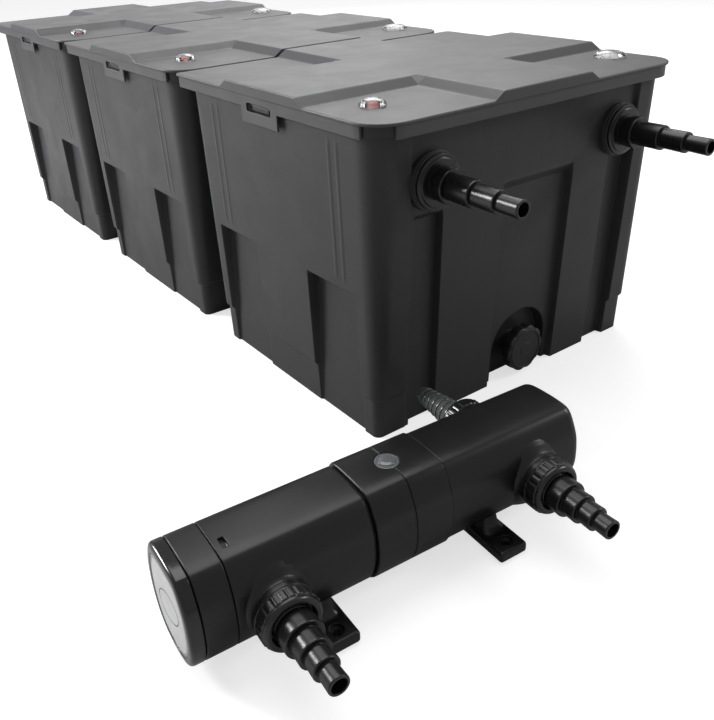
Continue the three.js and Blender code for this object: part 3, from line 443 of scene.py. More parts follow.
def mesh_of(name, shape, sharp=38, flip_check=True):
    """A shape's mesh in metres. Edges that turn by more than `sharp` degrees stay crisp."""
    mesh = bpy.data.meshes.new(name)
    mesh.from_pydata([(x * MM, y * MM, z * MM) for x, y, z in shape.points], [], shape.faces)
    bm = bmesh.new()
    bm.from_mesh(mesh)
    bmesh.ops.remove_doubles(bm, verts=bm.verts, dist=1e-6)
    if flip_check:
        bmesh.ops.recalc_face_normals(bm, faces=bm.faces)
    bm.to_mesh(mesh)
    bm.free()
    finish_shading(mesh, sharp)
    return mesh


def finish_shading(mesh, sharp):
    mesh.shade_smooth()
    mesh.set_sharp_from_angle(angle=math.radians(sharp))


def combined(mesh, tool_shape, operation):
    """The mesh cut by, or joined with, a closed shape."""
    base = bpy.data.objects.new("base", mesh)
    tool = bpy.data.objects.new("tool", mesh_of("tool", tool_shape))
    for obj in (base, tool):
        bpy.context.scene.collection.objects.link(obj)
    modifier = base.modifiers.new("boolean", "BOOLEAN")
    modifier.object = tool
    modifier.operation = operation
    modifier.solver = "EXACT"
    bpy.context.view_layer.update()
    depsgraph = bpy.context.evaluated_depsgraph_get()
    made = bpy.data.meshes.new_from_object(base.evaluated_get(depsgraph))
    for obj in (base, tool):
        bpy.data.objects.remove(obj)
    return made


def cut_out(name, shape, cutters, sharp):
    """A shape's mesh with closed shapes cut out of it, one after the other."""
    mesh = mesh_of(name, shape)
    for cutter in cutters:
        mesh = combined(mesh, cutter, "DIFFERENCE")
    finish_shading(mesh, sharp)
    return mesh


def show(name, mesh, look, body, place, stands_for=()):
    """A finished mesh as a piece that rides on a body of the frame."""
    obj = bpy.data.objects.new(name, mesh)
    bpy.context.scene.collection.objects.link(obj)
    obj.matrix_world = place
    if not mesh.materials:
        mesh.materials.append(look)
    normals = obj.modifiers.new("even shading", "WEIGHTED_NORMAL")
    normals.keep_sharp = True
    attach(obj, body)
    if stands_for:
        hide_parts(*stands_for)


def metres(x, y, z):
    return Matrix.Translation((x * MM, y * MM, z * MM))


def centre_of(node):
    low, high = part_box(node)
    return (low + high) / 2 / MM


def under(node):
    """The place on the floor under a node's middle."""
    spot = centre_of(node)
    return metres(spot.x, spot.y, 0)


def chamber_centre(number):
    """Where a chamber's own axis stands on the floor."""
    low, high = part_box(f"tank_{number}")
    return Vector(((low.x + high.x) / 2 / MM, (low.y + high.y) / 2 / MM, 0.0))


# ---------------------------------------------------------------- chamber shell


def clamp(t):
    return min(1.0, max(0.0, t))


def smooth(t):
    t = clamp(t)
    return t * t * (3 - 2 * t)


def edge_share(inside):
    """From 0 to 1 across a recess's side, for a distance inside its line."""
    return smooth((inside + EDGE_OUT) / (EDGE_OUT + EDGE_IN))


def depth_at(recess, z):
    low, high = recess["depth"]
    return low + (high - low) * clamp((z - RECESS_FOOT) / (recess["top"] - RECESS_FOOT))


def recess_depth(c, z, recess, grow):
    """How far a recess, swollen by `grow`, draws its wall in at a place across it and a height."""
    low, high = recess["span"]
    across = edge_share(c - low + grow) * edge_share(high + grow - c)
    if across <= 0:
        return 0.0
    above = z - recess["top"] - grow
    closing = 1 - clamp(above / recess["ramp"]) if recess["ramp"] else edge_share(-above)
    return (depth_at(recess, z) + grow) * across * closing


def mirrored(recess):
    low, high = recess["span"]
    return dict(recess, span=(-high, -low))


FRONT_RECESSES = (PANEL,) + FRONT_POCKETS
BACK_RECESSES = (PANEL, FRONT_POCKETS[0], FRONT_POCKETS[2])
RECESSES = {
    "front": FRONT_RECESSES,
    "right": SIDE_POCKETS,
    "back": tuple(mirrored(r) for r in BACK_RECESSES),
    "left": tuple(mirrored(r) for r in SIDE_POCKETS),
}
WALL_ENDS = {"front": 210.0, "right": 173.0, "back": 210.0, "left": 173.0}
CORNER_SAMPLES = 15
WALL_CELL = 18  # the widest gaps left between mesh lines, across a wall and up it
LEVEL_CELL = 22
TWIN_LINES = 0.35  # lines closer than this become one


def filled(values, widest, nearest):
    """Sorted values with more put in where a gap is too wide, and near twins dropped."""
    values = sorted(values)
    kept = [values[0]]
    for value in values[1:]:
        if value - kept[-1] < nearest:
            continue
        gaps = math.ceil((value - kept[-1]) / widest)
        start = kept[-1]
        kept.extend(start + (value - start) * i / gaps for i in range(1, gaps + 1))
    return kept


def wall_lines(side):
    """Where the mesh lines stand across one wall: close together at each recess's edges and at the ribs."""
    end = WALL_ENDS[side]
    lines = {-end, end}
    for recess in RECESSES[side]:
        low, high = recess["span"]
        for inside in EDGE_LINES:
            lines.update((low + inside, high - inside))
    if side in ("left", "right"):
        for rib in RIB_AT:
            lines.update(rib + RIB_HALF * step / 4 for step in range(-4, 5))
    return filled([c for c in lines if abs(c) <= end], WALL_CELL, TWIN_LINES)


WALL_LINES = {side: wall_lines(side) for side in RECESSES}


def grown_lines(side, grow):
    """The same lines for the inner face, where each recess is wider by the wall on both sides."""
    knots = {}
    for recess in RECESSES[side]:
        low, high = recess["span"]
        knots[low], knots[high] = low - grow, high + grow
    end = WALL_ENDS[side]
    knots[-end], knots[end] = -end - grow, end + grow
    at = sorted(knots)
    return list(np.interp(WALL_LINES[side], at, [knots[k] for k in at]))


def rib_relief(c, z):
    share = smooth((z - RIB_SPAN[0]) / RIB_FADE) * smooth((RIB_SPAN[1] - z) / RIB_FADE)
    if share <= 0:
        return 0.0
    nearest = min(abs(c - rib) for rib in RIB_AT)
    return RIB_HEIGHT * share * math.cos(clamp(nearest / RIB_HALF) * math.pi / 2) ** 1.5


def half_at(z):
    share = min(z, SHELL_TOP) / SHELL_TOP
    return [b + (t - b) * share for b, t in zip(BASE_HALF, TOP_HALF)]


def corner_run(centre, radius, start, end):
    """Points round one corner, from `start` along the first wall to `end` along the second."""
    (ca, cb), run = centre, []
    a0 = math.asin(clamp((start - ca) / radius))
    a1 = math.asin(clamp((end - cb) / radius))
    straight_a, straight_b = max(0.0, ca - start), max(0.0, cb - end)
    arc = radius * (math.pi / 2 - a0 - a1)
    total = straight_a + arc + straight_b
    for step in range(1, CORNER_SAMPLES + 1):
        s = total * step / (CORNER_SAMPLES + 1)
        if s < straight_a:
            run.append((start + s, cb + radius))
        elif s > straight_a + arc:
            run.append((ca + radius, end + total - s))
        else:
            angle = a0 + (s - straight_a) / radius
            run.append((ca + radius * math.sin(angle), cb + radius * math.cos(angle)))
    return run


def shell_ring(z, half, radius, lines, limit, ribbed=False):
    """One ring round the shell. `limit` gives how far out each wall may stand at a place across it."""
    centre = (half[0] - radius, half[1] - radius)

    def wall(side, c):
        along, out = (0, 1) if side in ("front", "back") else (1, 0)
        over = abs(c) - centre[along]
        base = half[out] if over <= 0 else centre[out] + math.sqrt(max(0.0, radius**2 - over**2))
        return min(base, limit(side, c, z)) + (rib_relief(c, z) if ribbed and along else 0)

    points = [(c, -wall("front", c), z) for c in lines["front"]]
    points += [(a, -b, z) for a, b in corner_run(centre, radius, lines["front"][-1], lines["right"][-1])]
    points += [(wall("right", c), c, z) for c in lines["right"]]
    swapped = (centre[1], centre[0])
    points += [(b, a, z) for a, b in corner_run(swapped, radius, lines["right"][-1], lines["back"][-1])]
    points += [(-c, wall("back", c), z) for c in lines["back"]]
    points += [(-a, b, z) for a, b in corner_run(centre, radius, lines["back"][-1], lines["left"][-1])]
    points += [(-wall("left", c), -c, z) for c in lines["left"]]
    points += [(-b, -a, z) for a, b in corner_run(swapped, radius, lines["left"][-1], lines["front"][-1])]
    return points


def corner_radius(z, inset):
    share = min(z, SHELL_TOP) / SHELL_TOP
    return max(FOOT_CORNER + (CORNER - FOOT_CORNER) * share - inset, TIGHTEST_CORNER)


def band_inset(z):
    return BAND_INSET * (1 - clamp((z - BAND_TOP + BAND_STEP) / BAND_STEP))


def shell_levels(grow):
    """Heights of the mesh lines: close together at the recesses' tops, the foot band and the ribs' ends."""
    levels = {0.0, 3.0, BAND_TOP - BAND_STEP, BAND_TOP - 2.5, BAND_TOP, SHELL_TOP}
    for recess in FRONT_RECESSES + SIDE_POCKETS:
        top = recess["top"] + grow
        levels.update((top - EDGE_IN, top - 0.5, top, top + recess["ramp"] / 2, top + recess["ramp"]))
    for step in range(5):
        levels.update((RIB_SPAN[0] + RIB_FADE * step / 4, RIB_SPAN[1] - RIB_FADE * step / 4))
    return [z for z in filled(levels, LEVEL_CELL, TWIN_LINES) if z <= SHELL_TOP]


def shell_surface():
    """The shell before anything is cut: up its outside, over the rim and down its inside to the floor."""
    inner_lines = {side: grown_lines(side, WALL) for side in RECESSES}

    def limit_for(grow):
        def limit(side, c, z):
            half = half_at(z)[1 if side in ("front", "back") else 0]
            return half - max(recess_depth(c, z, r, grow) for r in RECESSES[side])
        return limit

    def free(side, c, z):
        return math.inf

    rings = []
    for z in shell_levels(0):
        inset = band_inset(z)
        half = [h - inset for h in half_at(z)]
        rings.append(shell_ring(z, half, corner_radius(z, inset), WALL_LINES, limit_for(0), ribbed=True))
    for z, inset in ((SHELL_TOP, 0), (RIM_TOP - 0.8, 0), (RIM_TOP, 0.8), (RIM_TOP, RIM_WALL - 0.8),
                     (RIM_TOP - 0.8, RIM_WALL), (SHELL_TOP + WALL, RIM_WALL)):
        half = [h - inset for h in RIM_HALF]
        rings.append(shell_ring(z, half, RIM_CORNER - inset, WALL_LINES, free))
    for z in reversed([z for z in shell_levels(WALL) if z > FLOOR]):
        inset = band_inset(z) + WALL
        half = [h - inset for h in half_at(z)]
        rings.append(shell_ring(z, half, corner_radius(z, inset), inner_lines, limit_for(WALL)))
    last = [(x, y, FLOOR) for x, y, z in rings[-1]]
    return loft(rings + [last])


def pocket_floor_y(z):
    """The recessed front face round the drain arch."""
    return depth_at(FRONT_POCKETS[1], z) - half_at(z)[1]


def arch_loop(radius, low, y_at):
    loop = [(DRAIN_X - radius, low), (DRAIN_X - radius, ARCH_SPRING * 0.5)]
    for step in range(33):
        angle = math.pi * (1 - step / 32)
        loop.append((DRAIN_X + radius * math.cos(angle), ARCH_SPRING + radius * math.sin(angle)))
    loop += [(DRAIN_X + radius, ARCH_SPRING * 0.5), (DRAIN_X + radius, low)]
    return [(x, y_at(z), z) for x, z in loop]


def arch_cutter():
    """The space under the drain arch: a rounded lip at the front, then straight in to the arch's back."""
    lip, low = 2.2, -2
    rings = [arch_loop(ARCH_HALF + lip, low, lambda z: -240.0)]
    for step in range(6):
        angle = math.pi / 2 * step / 5
        swell = lip * (1 - math.sin(angle))
        back = lip * (1 - math.cos(angle))
        rings.append(arch_loop(ARCH_HALF + swell, low, lambda z, back=back: pocket_floor_y(z) + back - 0.02))
    for narrowing, short in ((0, 1.6), (0.5, 0.5), (1.6, 0)):
        rings.append(arch_loop(ARCH_HALF - narrowing, low, lambda z, short=short: -ARCH_BACK - short))
    return loft(rings)


def arch_lining():
    """The wall round the arch, inside the chamber."""
    return loft([
        arch_loop(ARCH_HALF + WALL, 2, lambda z: pocket_floor_y(z) + 2.0),
        arch_loop(ARCH_HALF + WALL, 2, lambda z: -ARCH_BACK + WALL - 0.8),
        arch_loop(ARCH_HALF + WALL - 0.8, 2, lambda z: -ARCH_BACK + WALL),
    ])


def port_boss():
    profile = [(0, BOSS_INNER), (BOSS_RADIUS, BOSS_INNER), (BOSS_RADIUS, BOSS_OUTER), (0, BOSS_OUTER)]
    return lathe(profile, 64, 1.2)


def plain_bar(radius, low, high, segments=64):
    """A round bar about Z."""
    return lathe([(0, low), (radius, low), (radius, high), (0, high)], segments, 0.01)


def tank_mesh():
    """The chamber's shell with its bosses, port holes, drain arch, drain spigot and catches."""
    joined = arch_lining()
    cutters = arch_cutter()
    for x in PORT_X:
        for way in (FRONT, BACK):
            joined.join(port_boss().turned(way).moved(x, 0, PORT_Z))
        cutters.join(plain_bar(PORT_HOLE, -250, 250).turned(FRONT).moved(x, 0, PORT_Z))
    mesh = combined(mesh_of("tank", shell_surface()), joined, "UNION")
    mesh = combined(mesh, cutters, "DIFFERENCE")
    extras = lathe([
        (DRAIN_BORE, ARCH_BACK - 2), (DRAIN_SPIGOT, ARCH_BACK - 2), (DRAIN_SPIGOT, DRAIN_SPIGOT_END),
        (DRAIN_BORE, DRAIN_SPIGOT_END),
    ], 48, 0.6, closed=True).turned(FRONT).moved(DRAIN_X, 0, DRAIN_Z)
    catch_y = (LATCH_Y - CATCH_HALF, LATCH_Y + CATCH_HALF)
    catch_z = (SLOT_Z[0] + 1.5, SHELL_TOP + 1)
    for x in ((-CATCH_FACE, -TOP_HALF[0] + 2), (TOP_HALF[0] - 2, CATCH_FACE)):
        extras.join(block(x, catch_y, catch_z, 0.7))
    bm = bmesh.new()
    bm.from_mesh(mesh)
    bm.from_mesh(mesh_of("extras", extras))
    bm.to_mesh(mesh)
    bm.free()
    finish_shading(mesh, 33)
    return mesh


# ---------------------------------------------------------------- lid


def arm_share(distance, widths):
    """The rise of one raised arm at a distance from its middle line, its edges rounded over 3 mm."""
    foot, crown = widths
    total = 0.0
    for step in range(-3, 4):
        total += clamp((foot - distance - step * 0.5) / (foot - crown))
    return total / 7


def lid_height(x, y):
    return LID_LOW + LID_RISE * max(arm_share(abs(x), ARM_X), arm_share(abs(y), ARM_Y))


def rounded(x, y, half, front, back):
    """A point drawn in to the rounded outline, with its distance to the edge and the way out."""
    radius = front if y < 0 else back
    ca, cb = half[0] - radius, half[1] - radius
    sx, sy = math.copysign(1, x), math.copysign(1, y)
    a, b = (abs(x) - ca) / radius, (abs(y) - cb) / radius
    if a <= 0 or b <= 0:
        gap_x, gap_y = half[0] - abs(x), half[1] - abs(y)
        out = (sx, 0) if gap_x < gap_y else (0, sy)
        return x, y, min(gap_x, gap_y), out
    u, v = a * math.sqrt(1 - b * b / 2), b * math.sqrt(1 - a * a / 2)
    reach = math.hypot(u, v)
    out = (sx * u / reach, sy * v / reach)
    return sx * (ca + u * radius), sy * (cb + v * radius), radius * (1 - reach), out


def lid_lines(half, widths):
    """Mesh lines across the lid: close together at its edge and on the slopes of the raised arms."""
    lines = {0.0}
    for inset in LID_INSETS:
        lines.update((half - inset, inset - half))
    for edge in widths:
        for step in (-2.5, -1.25, 0, 1.25, 2.5):
            lines.update((edge + step, -edge - step))
    return filled(lines, LEVEL_CELL, 0.0)


def edge_drop(distance):
    """How far the top falls away at the lid's rounded edge."""
    if distance >= LID_EDGE:
        return 0.0
    return LID_EDGE - math.sqrt(max(0.0, LID_EDGE**2 - (LID_EDGE - distance) ** 2))


def lid_surface():
    """The lid before anything is cut: its top, its edge and skirt, and its underside."""
    xs, ys = lid_lines(LID_HALF[0], ARM_X), lid_lines(LID_HALF[1], ARM_Y)
    nx, ny = len(xs), len(ys)
    border = [(i, 0) for i in range(nx)] + [(nx - 1, j) for j in range(1, ny)]
    border += [(i, ny - 1) for i in range(nx - 2, -1, -1)] + [(0, j) for j in range(ny - 2, 0, -1)]
    top, inside, edge = {}, {}, {}
    inner_half = [h - LID_LIP - SKIRT_WALL for h in LID_HALF]
    inset = LID_LIP + SKIRT_WALL

    def drawn_in(c, half):
        band = 2 * inset
        over = abs(c) - (half - band)
        return c if over <= 0 else math.copysign(half - band + over / 2, c)

    for i, x in enumerate(xs):
        for j, y in enumerate(ys):
            px, py, gap, out = rounded(x, y, LID_HALF, LID_FRONT_CORNER, LID_BACK_CORNER)
            top[i, j] = (px, py, lid_height(px, py) - edge_drop(gap))
            edge[i, j] = (px, py, out)
            ix, iy, _, _ = rounded(
                drawn_in(x, LID_HALF[0]), drawn_in(y, LID_HALF[1]), inner_half,
                LID_FRONT_CORNER - inset, LID_BACK_CORNER - inset,
            )
            inside[i, j] = (ix, iy, lid_height(ix, iy) - LID_PLATE)

    def stepped_in(by, z):
        return [(edge[k][0] - edge[k][2][0] * by, edge[k][1] - edge[k][2][1] * by, z) for k in border]

    plate_bottom = LID_LOW - LID_PLATE
    side = loft([
        [top[k] for k in border],
        stepped_in(0, plate_bottom + 0.5),
        stepped_in(0.5, plate_bottom),
        stepped_in(LID_LIP, plate_bottom),
        stepped_in(LID_LIP, SKIRT_BOTTOM + 0.5),
        stepped_in(LID_LIP + 0.5, SKIRT_BOTTOM),
        stepped_in(inset - 0.5, SKIRT_BOTTOM),
        stepped_in(inset, SKIRT_BOTTOM + 0.5),
        [inside[k] for k in border],
    ], False, False)
    for grid in (top, inside):
        points = [grid[i, j] for i in range(nx) for j in range(ny)]
        faces = [
            (i * ny + j, (i + 1) * ny + j, (i + 1) * ny + j + 1, i * ny + j + 1)
            for i in range(nx - 1) for j in range(ny - 1)
        ]
        side.add(points, faces)
    return side


def lid_mesh():
    """The lid with its latch tongues and their slots, one notched corner and the instruments' holes."""
    skirt_out = LID_HALF[0] - LID_LIP
    skirt_in = skirt_out - SKIRT_WALL
    tongue_y = (LATCH_Y - LATCH_HALF, LATCH_Y + LATCH_HALF)
    slot_y = (LATCH_Y - SLOT_HALF, LATCH_Y + SLOT_HALF)
    tongues, cutters = Shape(), Shape()
    for sign in (-1, 1):
        face = sorted((sign * (skirt_in + 0.05), sign * (skirt_out - 0.05)))
        reach = sorted((sign * (skirt_in - 8), sign * (skirt_out + 8)))
        tongues.join(block(face, tongue_y, (LATCH_BOTTOM, SKIRT_BOTTOM + 4), 0.9))
        cutters.join(block(reach, slot_y, SLOT_Z, 3.2, 4))
    corner_x = (-LID_HALF[0] - 9, -LID_HALF[0] + NOTCH)
    corner_y = (-LID_HALF[1] - 9, -LID_HALF[1] + NOTCH)
    cutters.join(block(corner_x, corner_y, (SKIRT_BOTTOM - 9, LID_LOW - LID_PLATE - 0.2), 0.4))
    for node, (_, collar, _) in (("dirt_lens_1", DIRT_LENS), ("thermo_lens_1", THERMO_LENS)):
        spot = centre_of(node) - chamber_centre(1)
        cutters.join(plain_bar(collar + GAP, COLLAR_BOTTOM - 4, LID_LOW + 15).moved(spot.x, spot.y, 0))
    mesh = combined(mesh_of("lid", lid_surface()), tongues, "UNION")
    mesh = combined(mesh, cutters, "DIFFERENCE")
    finish_shading(mesh, 33)
    return mesh


# ---------------------------------------------------------------- drain and water fittings


def drain_cap_mesh():
    """A scalloped screw cap about its own axis, its face towards +Z, with a thin raised ring on it."""

    def scallop(angle):
        return CAP_RADIUS - CAP_SCALLOP * (0.5 - 0.5 * math.cos(CAP_LOBES * angle)) ** 2

    rim = outline_loop(CAP_LOBES * 18, scallop)
    face = outline_loop(CAP_LOBES * 18, lambda angle: CAP_RADIUS)
    rings = [
        at_height(rim, CAP_BACK, 0.94), at_height(rim, CAP_BACK + 0.6, 0.985),
        at_height(rim, CAP_BACK + 1.6), at_height(rim, CAP_FACE - 5),
        at_height(rim, CAP_FACE - 3, 0.985), at_height(rim, CAP_FACE - 1.8, 0.95),
    ]
    rings += [at_height(face, CAP_FACE - sunk, scale) for sunk, scale in (
        (1.2, 0.885), (1.0, 0.845), (0, 0.835), (0, 0.785),
        (1.1, 0.775), (1.2, 0.30), (0.5, 0.27), (0.4, 0.05),
    )]
    ends = (CAP_FACE - CAP_SOCKET, CAP_BACK)
    socket = [at_height(face, height, CAP_BORE / CAP_RADIUS) for height in ends]
    return mesh_of("drain_cap", loft(socket + rings), 30)


def stepped_tail(start, steps):
    """Hose steps that narrow outwards, each swelling to a crisp lip above a shallow groove."""
    points, height = [], start
    for radius, length in steps:
        points += [
            (radius - 1.5, height), (radius - 1.5, height + 1.0), (radius - 0.6, height + 1.9),
            (radius - 0.2, height + length * 0.7), (radius, height + length - 1.4),
            (radius - 0.5, height + length),
        ]
        height += length
    return points, height


def inlet_tail_mesh():
    """A hose tail: a shank through the front wall, a flange against the gasket, then narrowing steps."""
    inner = BOSS_INNER - 22
    seat = FLANGE_SEAT
    steps, end = stepped_tail(seat + HUB_END, TAIL_STEPS)
    profile = [
        (BORE_WIDE, inner), (PORT_SHANK, inner), (PORT_SHANK, seat), (FLANGE_RADIUS, seat),
        (FLANGE_RADIUS, seat + 3), (HUB_RADIUS, seat + 4), (HUB_RADIUS, seat + HUB_END - 0.6),
        (HUB_RADIUS - 1.2, seat + HUB_END),
    ] + steps + [(BORE_NARROW, end), (BORE_NARROW, end - 60), (BORE_WIDE, end - 90)]
    return mesh_of("inlet_tail", lathe(profile, 80, 0.5, closed=True), 30)


def gasket_mesh():
    bore, radius, low, high = GASKET
    profile = [(bore, low), (radius, low), (radius, high), (bore, high)]
    return mesh_of("inlet_gasket", lathe(profile, 80, 0.8, closed=True), 30)


def backnut_mesh():
    """A hexagon nut with a washer face, about Z."""

    def hexagon(angle):
        return NUT_FLATS / math.cos((angle + math.pi / 6) % (math.pi / 3) - math.pi / 6)

    outer = outline_loop(96, hexagon)
    chamfer = outline_loop(96, lambda angle: min(hexagon(angle), NUT_FLATS * 1.1))
    bore = outline_loop(96, lambda angle: PORT_SHANK + 0.4)
    low, high = BACKNUT
    rings = [
        at_height(bore, low), at_height(chamfer, low, 0.97), at_height(chamfer, low + 0.8),
        at_height(outer, low + 2), at_height(outer, high - 2.4), at_height(chamfer, high - 1.6, 1.04),
        at_height(chamfer, high, 1.04), at_height(bore, high), at_height(bore, low),
    ]
    return mesh_of("inlet_nut", loft(rings, False, False), 25)


def link_mesh(pitch):
    """A pipe between two chambers: shanks in the walls, a collar on each wall, a thicker sleeve between."""
    face, inner = BOSS_OUTER + GAP, BOSS_INNER - PIPE_REACH
    half = [
        (LINK_BORE, inner), (PORT_SHANK, inner), (PORT_SHANK, face), (LINK_COLLAR, face),
        (LINK_COLLAR, face + 5), (LINK_SLEEVE, face + 5),
    ]
    profile = half + [(radius, pitch - height) for radius, height in reversed(half)]
    return mesh_of("link", lathe(profile, 72, 0.7, closed=True), 30)


def outlet_mesh():
    """An outlet pipe in the last chamber's back wall, with a collar against the boss."""
    seat, inner = BOSS_OUTER + GAP, BOSS_INNER - PIPE_REACH
    end = seat + OUTLET_LENGTH
    profile = [
        (LINK_BORE, inner), (PORT_SHANK, inner), (PORT_SHANK, seat), (OUTLET_COLLAR, seat),
        (OUTLET_COLLAR, seat + 5), (OUTLET_RADIUS, seat + 6), (OUTLET_RADIUS, end - 2),
        (OUTLET_RADIUS - 1, end), (OUTLET_BORE, end), (OUTLET_BORE, seat + 8), (LINK_BORE, seat + 4),
    ]
    return mesh_of("outlet_pipe", lathe(profile, 72, 0.7, closed=True), 30)


# ---------------------------------------------------------------- instruments


def lens_mesh(name, rim, collar, lip):
    """A clear dome with a pot below it: the dome is a shallow cap, its rim a flat ring on the lid."""
    seat, crown = LENS_SEAT, LENS_SEAT + LENS_HEIGHT
    inner = collar - LENS_WALL
    spring = seat + LENS_RING
    rise = crown - spring
    cap = [(rim * math.sin(a), spring + rise * math.cos(a)) for a in ARC_STEPS]
    hollow = [(inner * math.sin(a), spring + (rise - LENS_WALL) * math.cos(a)) for a in reversed(ARC_STEPS)]
    pot = [
        (rim, seat), (collar, seat), (collar, COLLAR_BOTTOM), (lip, COLLAR_BOTTOM),
        (lip, COLLAR_BOTTOM + LENS_WALL), (inner, COLLAR_BOTTOM + LENS_WALL),
    ]
    return mesh_of(name, lathe(cap + pot + hollow, 64, 0.3), 34)


def float_mesh():
    """The blockage float: a red button under the dome, a thin rod, and a barrel float at its foot."""
    seat = COLLAR_BOTTOM + LENS_WALL + GAP
    low, high = FLOAT_Z
    return mesh_of("dirt_float", lathe([
        (0, low), (9, low), (11, low + 2.5), (11, (low + high) / 2 - 1), (10.3, (low + high) / 2),
        (11, (low + high) / 2 + 1), (11, high - 2.5), (6, high), (2.5, high + 3), (2.5, seat), (9, seat),
        (9, seat + 2.6), (6.5, seat + 3.9), (0, seat + 4.5),
    ], 48, 1.0), 34)


def thermometer_mesh():
    """A probe that hangs in the water, with a round dial on top."""
    seat = COLLAR_BOTTOM + LENS_WALL + GAP
    return mesh_of("thermometer", lathe([
        (0, PROBE_BOTTOM), (2.2, PROBE_BOTTOM + 0.6), (3.5, PROBE_BOTTOM + 2.4), (3.5, COLLAR_BOTTOM - 3),
        (9, COLLAR_BOTTOM - 3), (9, seat), (DIAL_RADIUS, seat), (DIAL_RADIUS, seat + 4.6),
        (DIAL_RADIUS - 1.4, seat + 4.6), (DIAL_RADIUS - 1.6, seat + 4.0), (0, seat + 4.0),
    ], 48, 0.4), 34)


def dial_marks():
    """Ticks round three quarters of the dial, every fifth one longer, with generic numbers inside them."""
    marks = Shape()
    for tick in range(DIAL_TICKS + 1):
        angle = DIAL_START - DIAL_SWEEP * tick / DIAL_TICKS
        length = 2.4 if tick % 5 == 0 else 1.3
        reach = DIAL_RADIUS - 2.2
        bar = block((reach - length, reach), (-0.16, 0.16), (DIAL_FACE, DIAL_FACE + 0.2), 0.05, 1)
        marks.join(bar.turned(Matrix.Rotation(angle, 4, "Z")))
    for index in range(DIAL_NUMBERS):
        angle = DIAL_START - DIAL_SWEEP * index / (DIAL_NUMBERS - 1)
        reach = DIAL_RADIUS - 6.6
        marks.join(numeral(str(index * 10)).moved(
            reach * math.cos(angle), reach * math.sin(angle), DIAL_FACE + 0.1))
    return mesh_of("dial_marks", marks)


def numeral(text):
    """One number as flat geometry about its own middle."""
    curve = bpy.data.curves.new("numeral", "FONT")
    curve.body = text
    curve.size = 2.6
    curve.extrude = 0.06
    curve.align_x = curve.align_y = "CENTER"
    curve.resolution_u = 3
    obj = bpy.data.objects.new("numeral", curve)
    mesh = bpy.data.meshes.new_from_object(obj)
    made = Shape().add([v.co for v in mesh.vertices], [tuple(p.vertices) for p in mesh.polygons])
    bpy.data.objects.remove(obj)
    return made


def needle_mesh():
    blade = loft([
        [(-2.6, -0.55, z), (8.6, -0.12, z), (8.6, 0.12, z), (-2.6, 0.55, z)]
        for z in (DIAL_FACE + 0.35, DIAL_FACE + 0.6)
    ])
    blade = blade.turned(Matrix.Rotation(NEEDLE_ANGLE, 4, "Z"))
    hub = lathe([(0, DIAL_FACE), (1.3, DIAL_FACE), (1.3, DIAL_FACE + 0.8), (0, DIAL_FACE + 0.9)], 24, 0.2)
    return mesh_of("dial_needle", blade.join(hub))


# ---------------------------------------------------------------- filter media


def grid_mesh():
    """A moulded grid on four legs: a frame, close bars across it, and three ties under the bars."""
    front, back = GRID_Y
    low, high = GRID_Z
    made = Shape()
    for x in (-GRID_HALF_X, GRID_HALF_X - GRID_FRAME):
        made.join(block((x, x + GRID_FRAME), GRID_Y, GRID_Z, 0.8))
    ties = (-GRID_HALF_X + 2, GRID_HALF_X - 2)
    for y in (front, (front + back - GRID_FRAME) / 2, back - GRID_FRAME):
        made.join(block(ties, (y, y + GRID_FRAME), (low + 0.2, high - 0.2), 0.8))
    span = 2 * (GRID_HALF_X - GRID_FRAME)
    for bar in range(1, GRID_BARS):
        x = -span / 2 + span * bar / GRID_BARS
        made.join(block((x - 1.6, x + 1.6), (front + 2, back - 2), (low + 0.5, high - 0.5), 0.6, 1))
    for x in (-GRID_HALF_X + 10, GRID_HALF_X - 10):
        for y in (front + 8, back - 8):
            made.join(block((x - 6, x + 6), (y - 6, y + 6), (FLOOR + GAP, low + 1), 0.8))
    return mesh_of("media_grid", made)


def slab_mesh(name, low, high, sag, seed):
    """A cut slab of soft filter material: its faces are a little uneven, its edges rounded by handling."""
    half = (GRID_HALF_X - SLAB_INSET, (GRID_Y[1] - GRID_Y[0]) / 2 - SLAB_INSET)
    middle_y = sum(GRID_Y) / 2
    across, deep, tall = SLAB_CELLS
    bm = bmesh.new()
    bmesh.ops.create_cube(bm, size=2)
    for axis, cuts in ((0, across), (1, deep), (2, tall)):
        for cut in range(1, cuts):
            offset = Vector([2 * cut / cuts - 1 if a == axis else 0 for a in range(3)])
            normal = Vector([1 if a == axis else 0 for a in range(3)])
            everything = bm.verts[:] + bm.edges[:] + bm.faces[:]
            bmesh.ops.bisect_plane(bm, geom=everything, plane_co=offset, plane_no=normal)
    size = Vector((half[0], half[1], (high - low) / 2 - 1.0))
    shift = Vector((seed * 7.1, seed * 3.3, seed * 1.7))
    for vert in bm.verts:
        unit = vert.co.copy()
        spot = Vector(u * s for u, s in zip(unit, size))
        over = Vector(max(0.0, abs(s) - (full - SLAB_ROUNDING)) for s, full in zip(spot, size))
        if over.length > SLAB_ROUNDING:
            over *= SLAB_ROUNDING / over.length
        inner = Vector(min(abs(s), full - SLAB_ROUNDING) for s, full in zip(spot, size))
        spot = Vector(math.copysign(i + o, s) for i, o, s in zip(inner, over, spot))
        waist = 1 - unit.z**2
        spot.x -= math.copysign(1.0, unit.x) * abs(unit.x) ** 9 * sag * waist * (1 - unit.y**4)
        spot.y -= math.copysign(1.0, unit.y) * abs(unit.y) ** 9 * sag * waist * (1 - unit.x**4)
        spot.z -= max(0.0, unit.z) ** 3 * sag * 0.8 * (1 - unit.x**2) * (1 - unit.y**2)
        broad, fine = (noise.noise_vector(spot * scale + shift) for scale in SLAB_WAVES)
        spot += broad * 0.9 + fine * 0.35
        vert.co = spot + Vector((0, middle_y, (low + high) / 2))
    return mesh_of(name, shape_of(bm), 80)


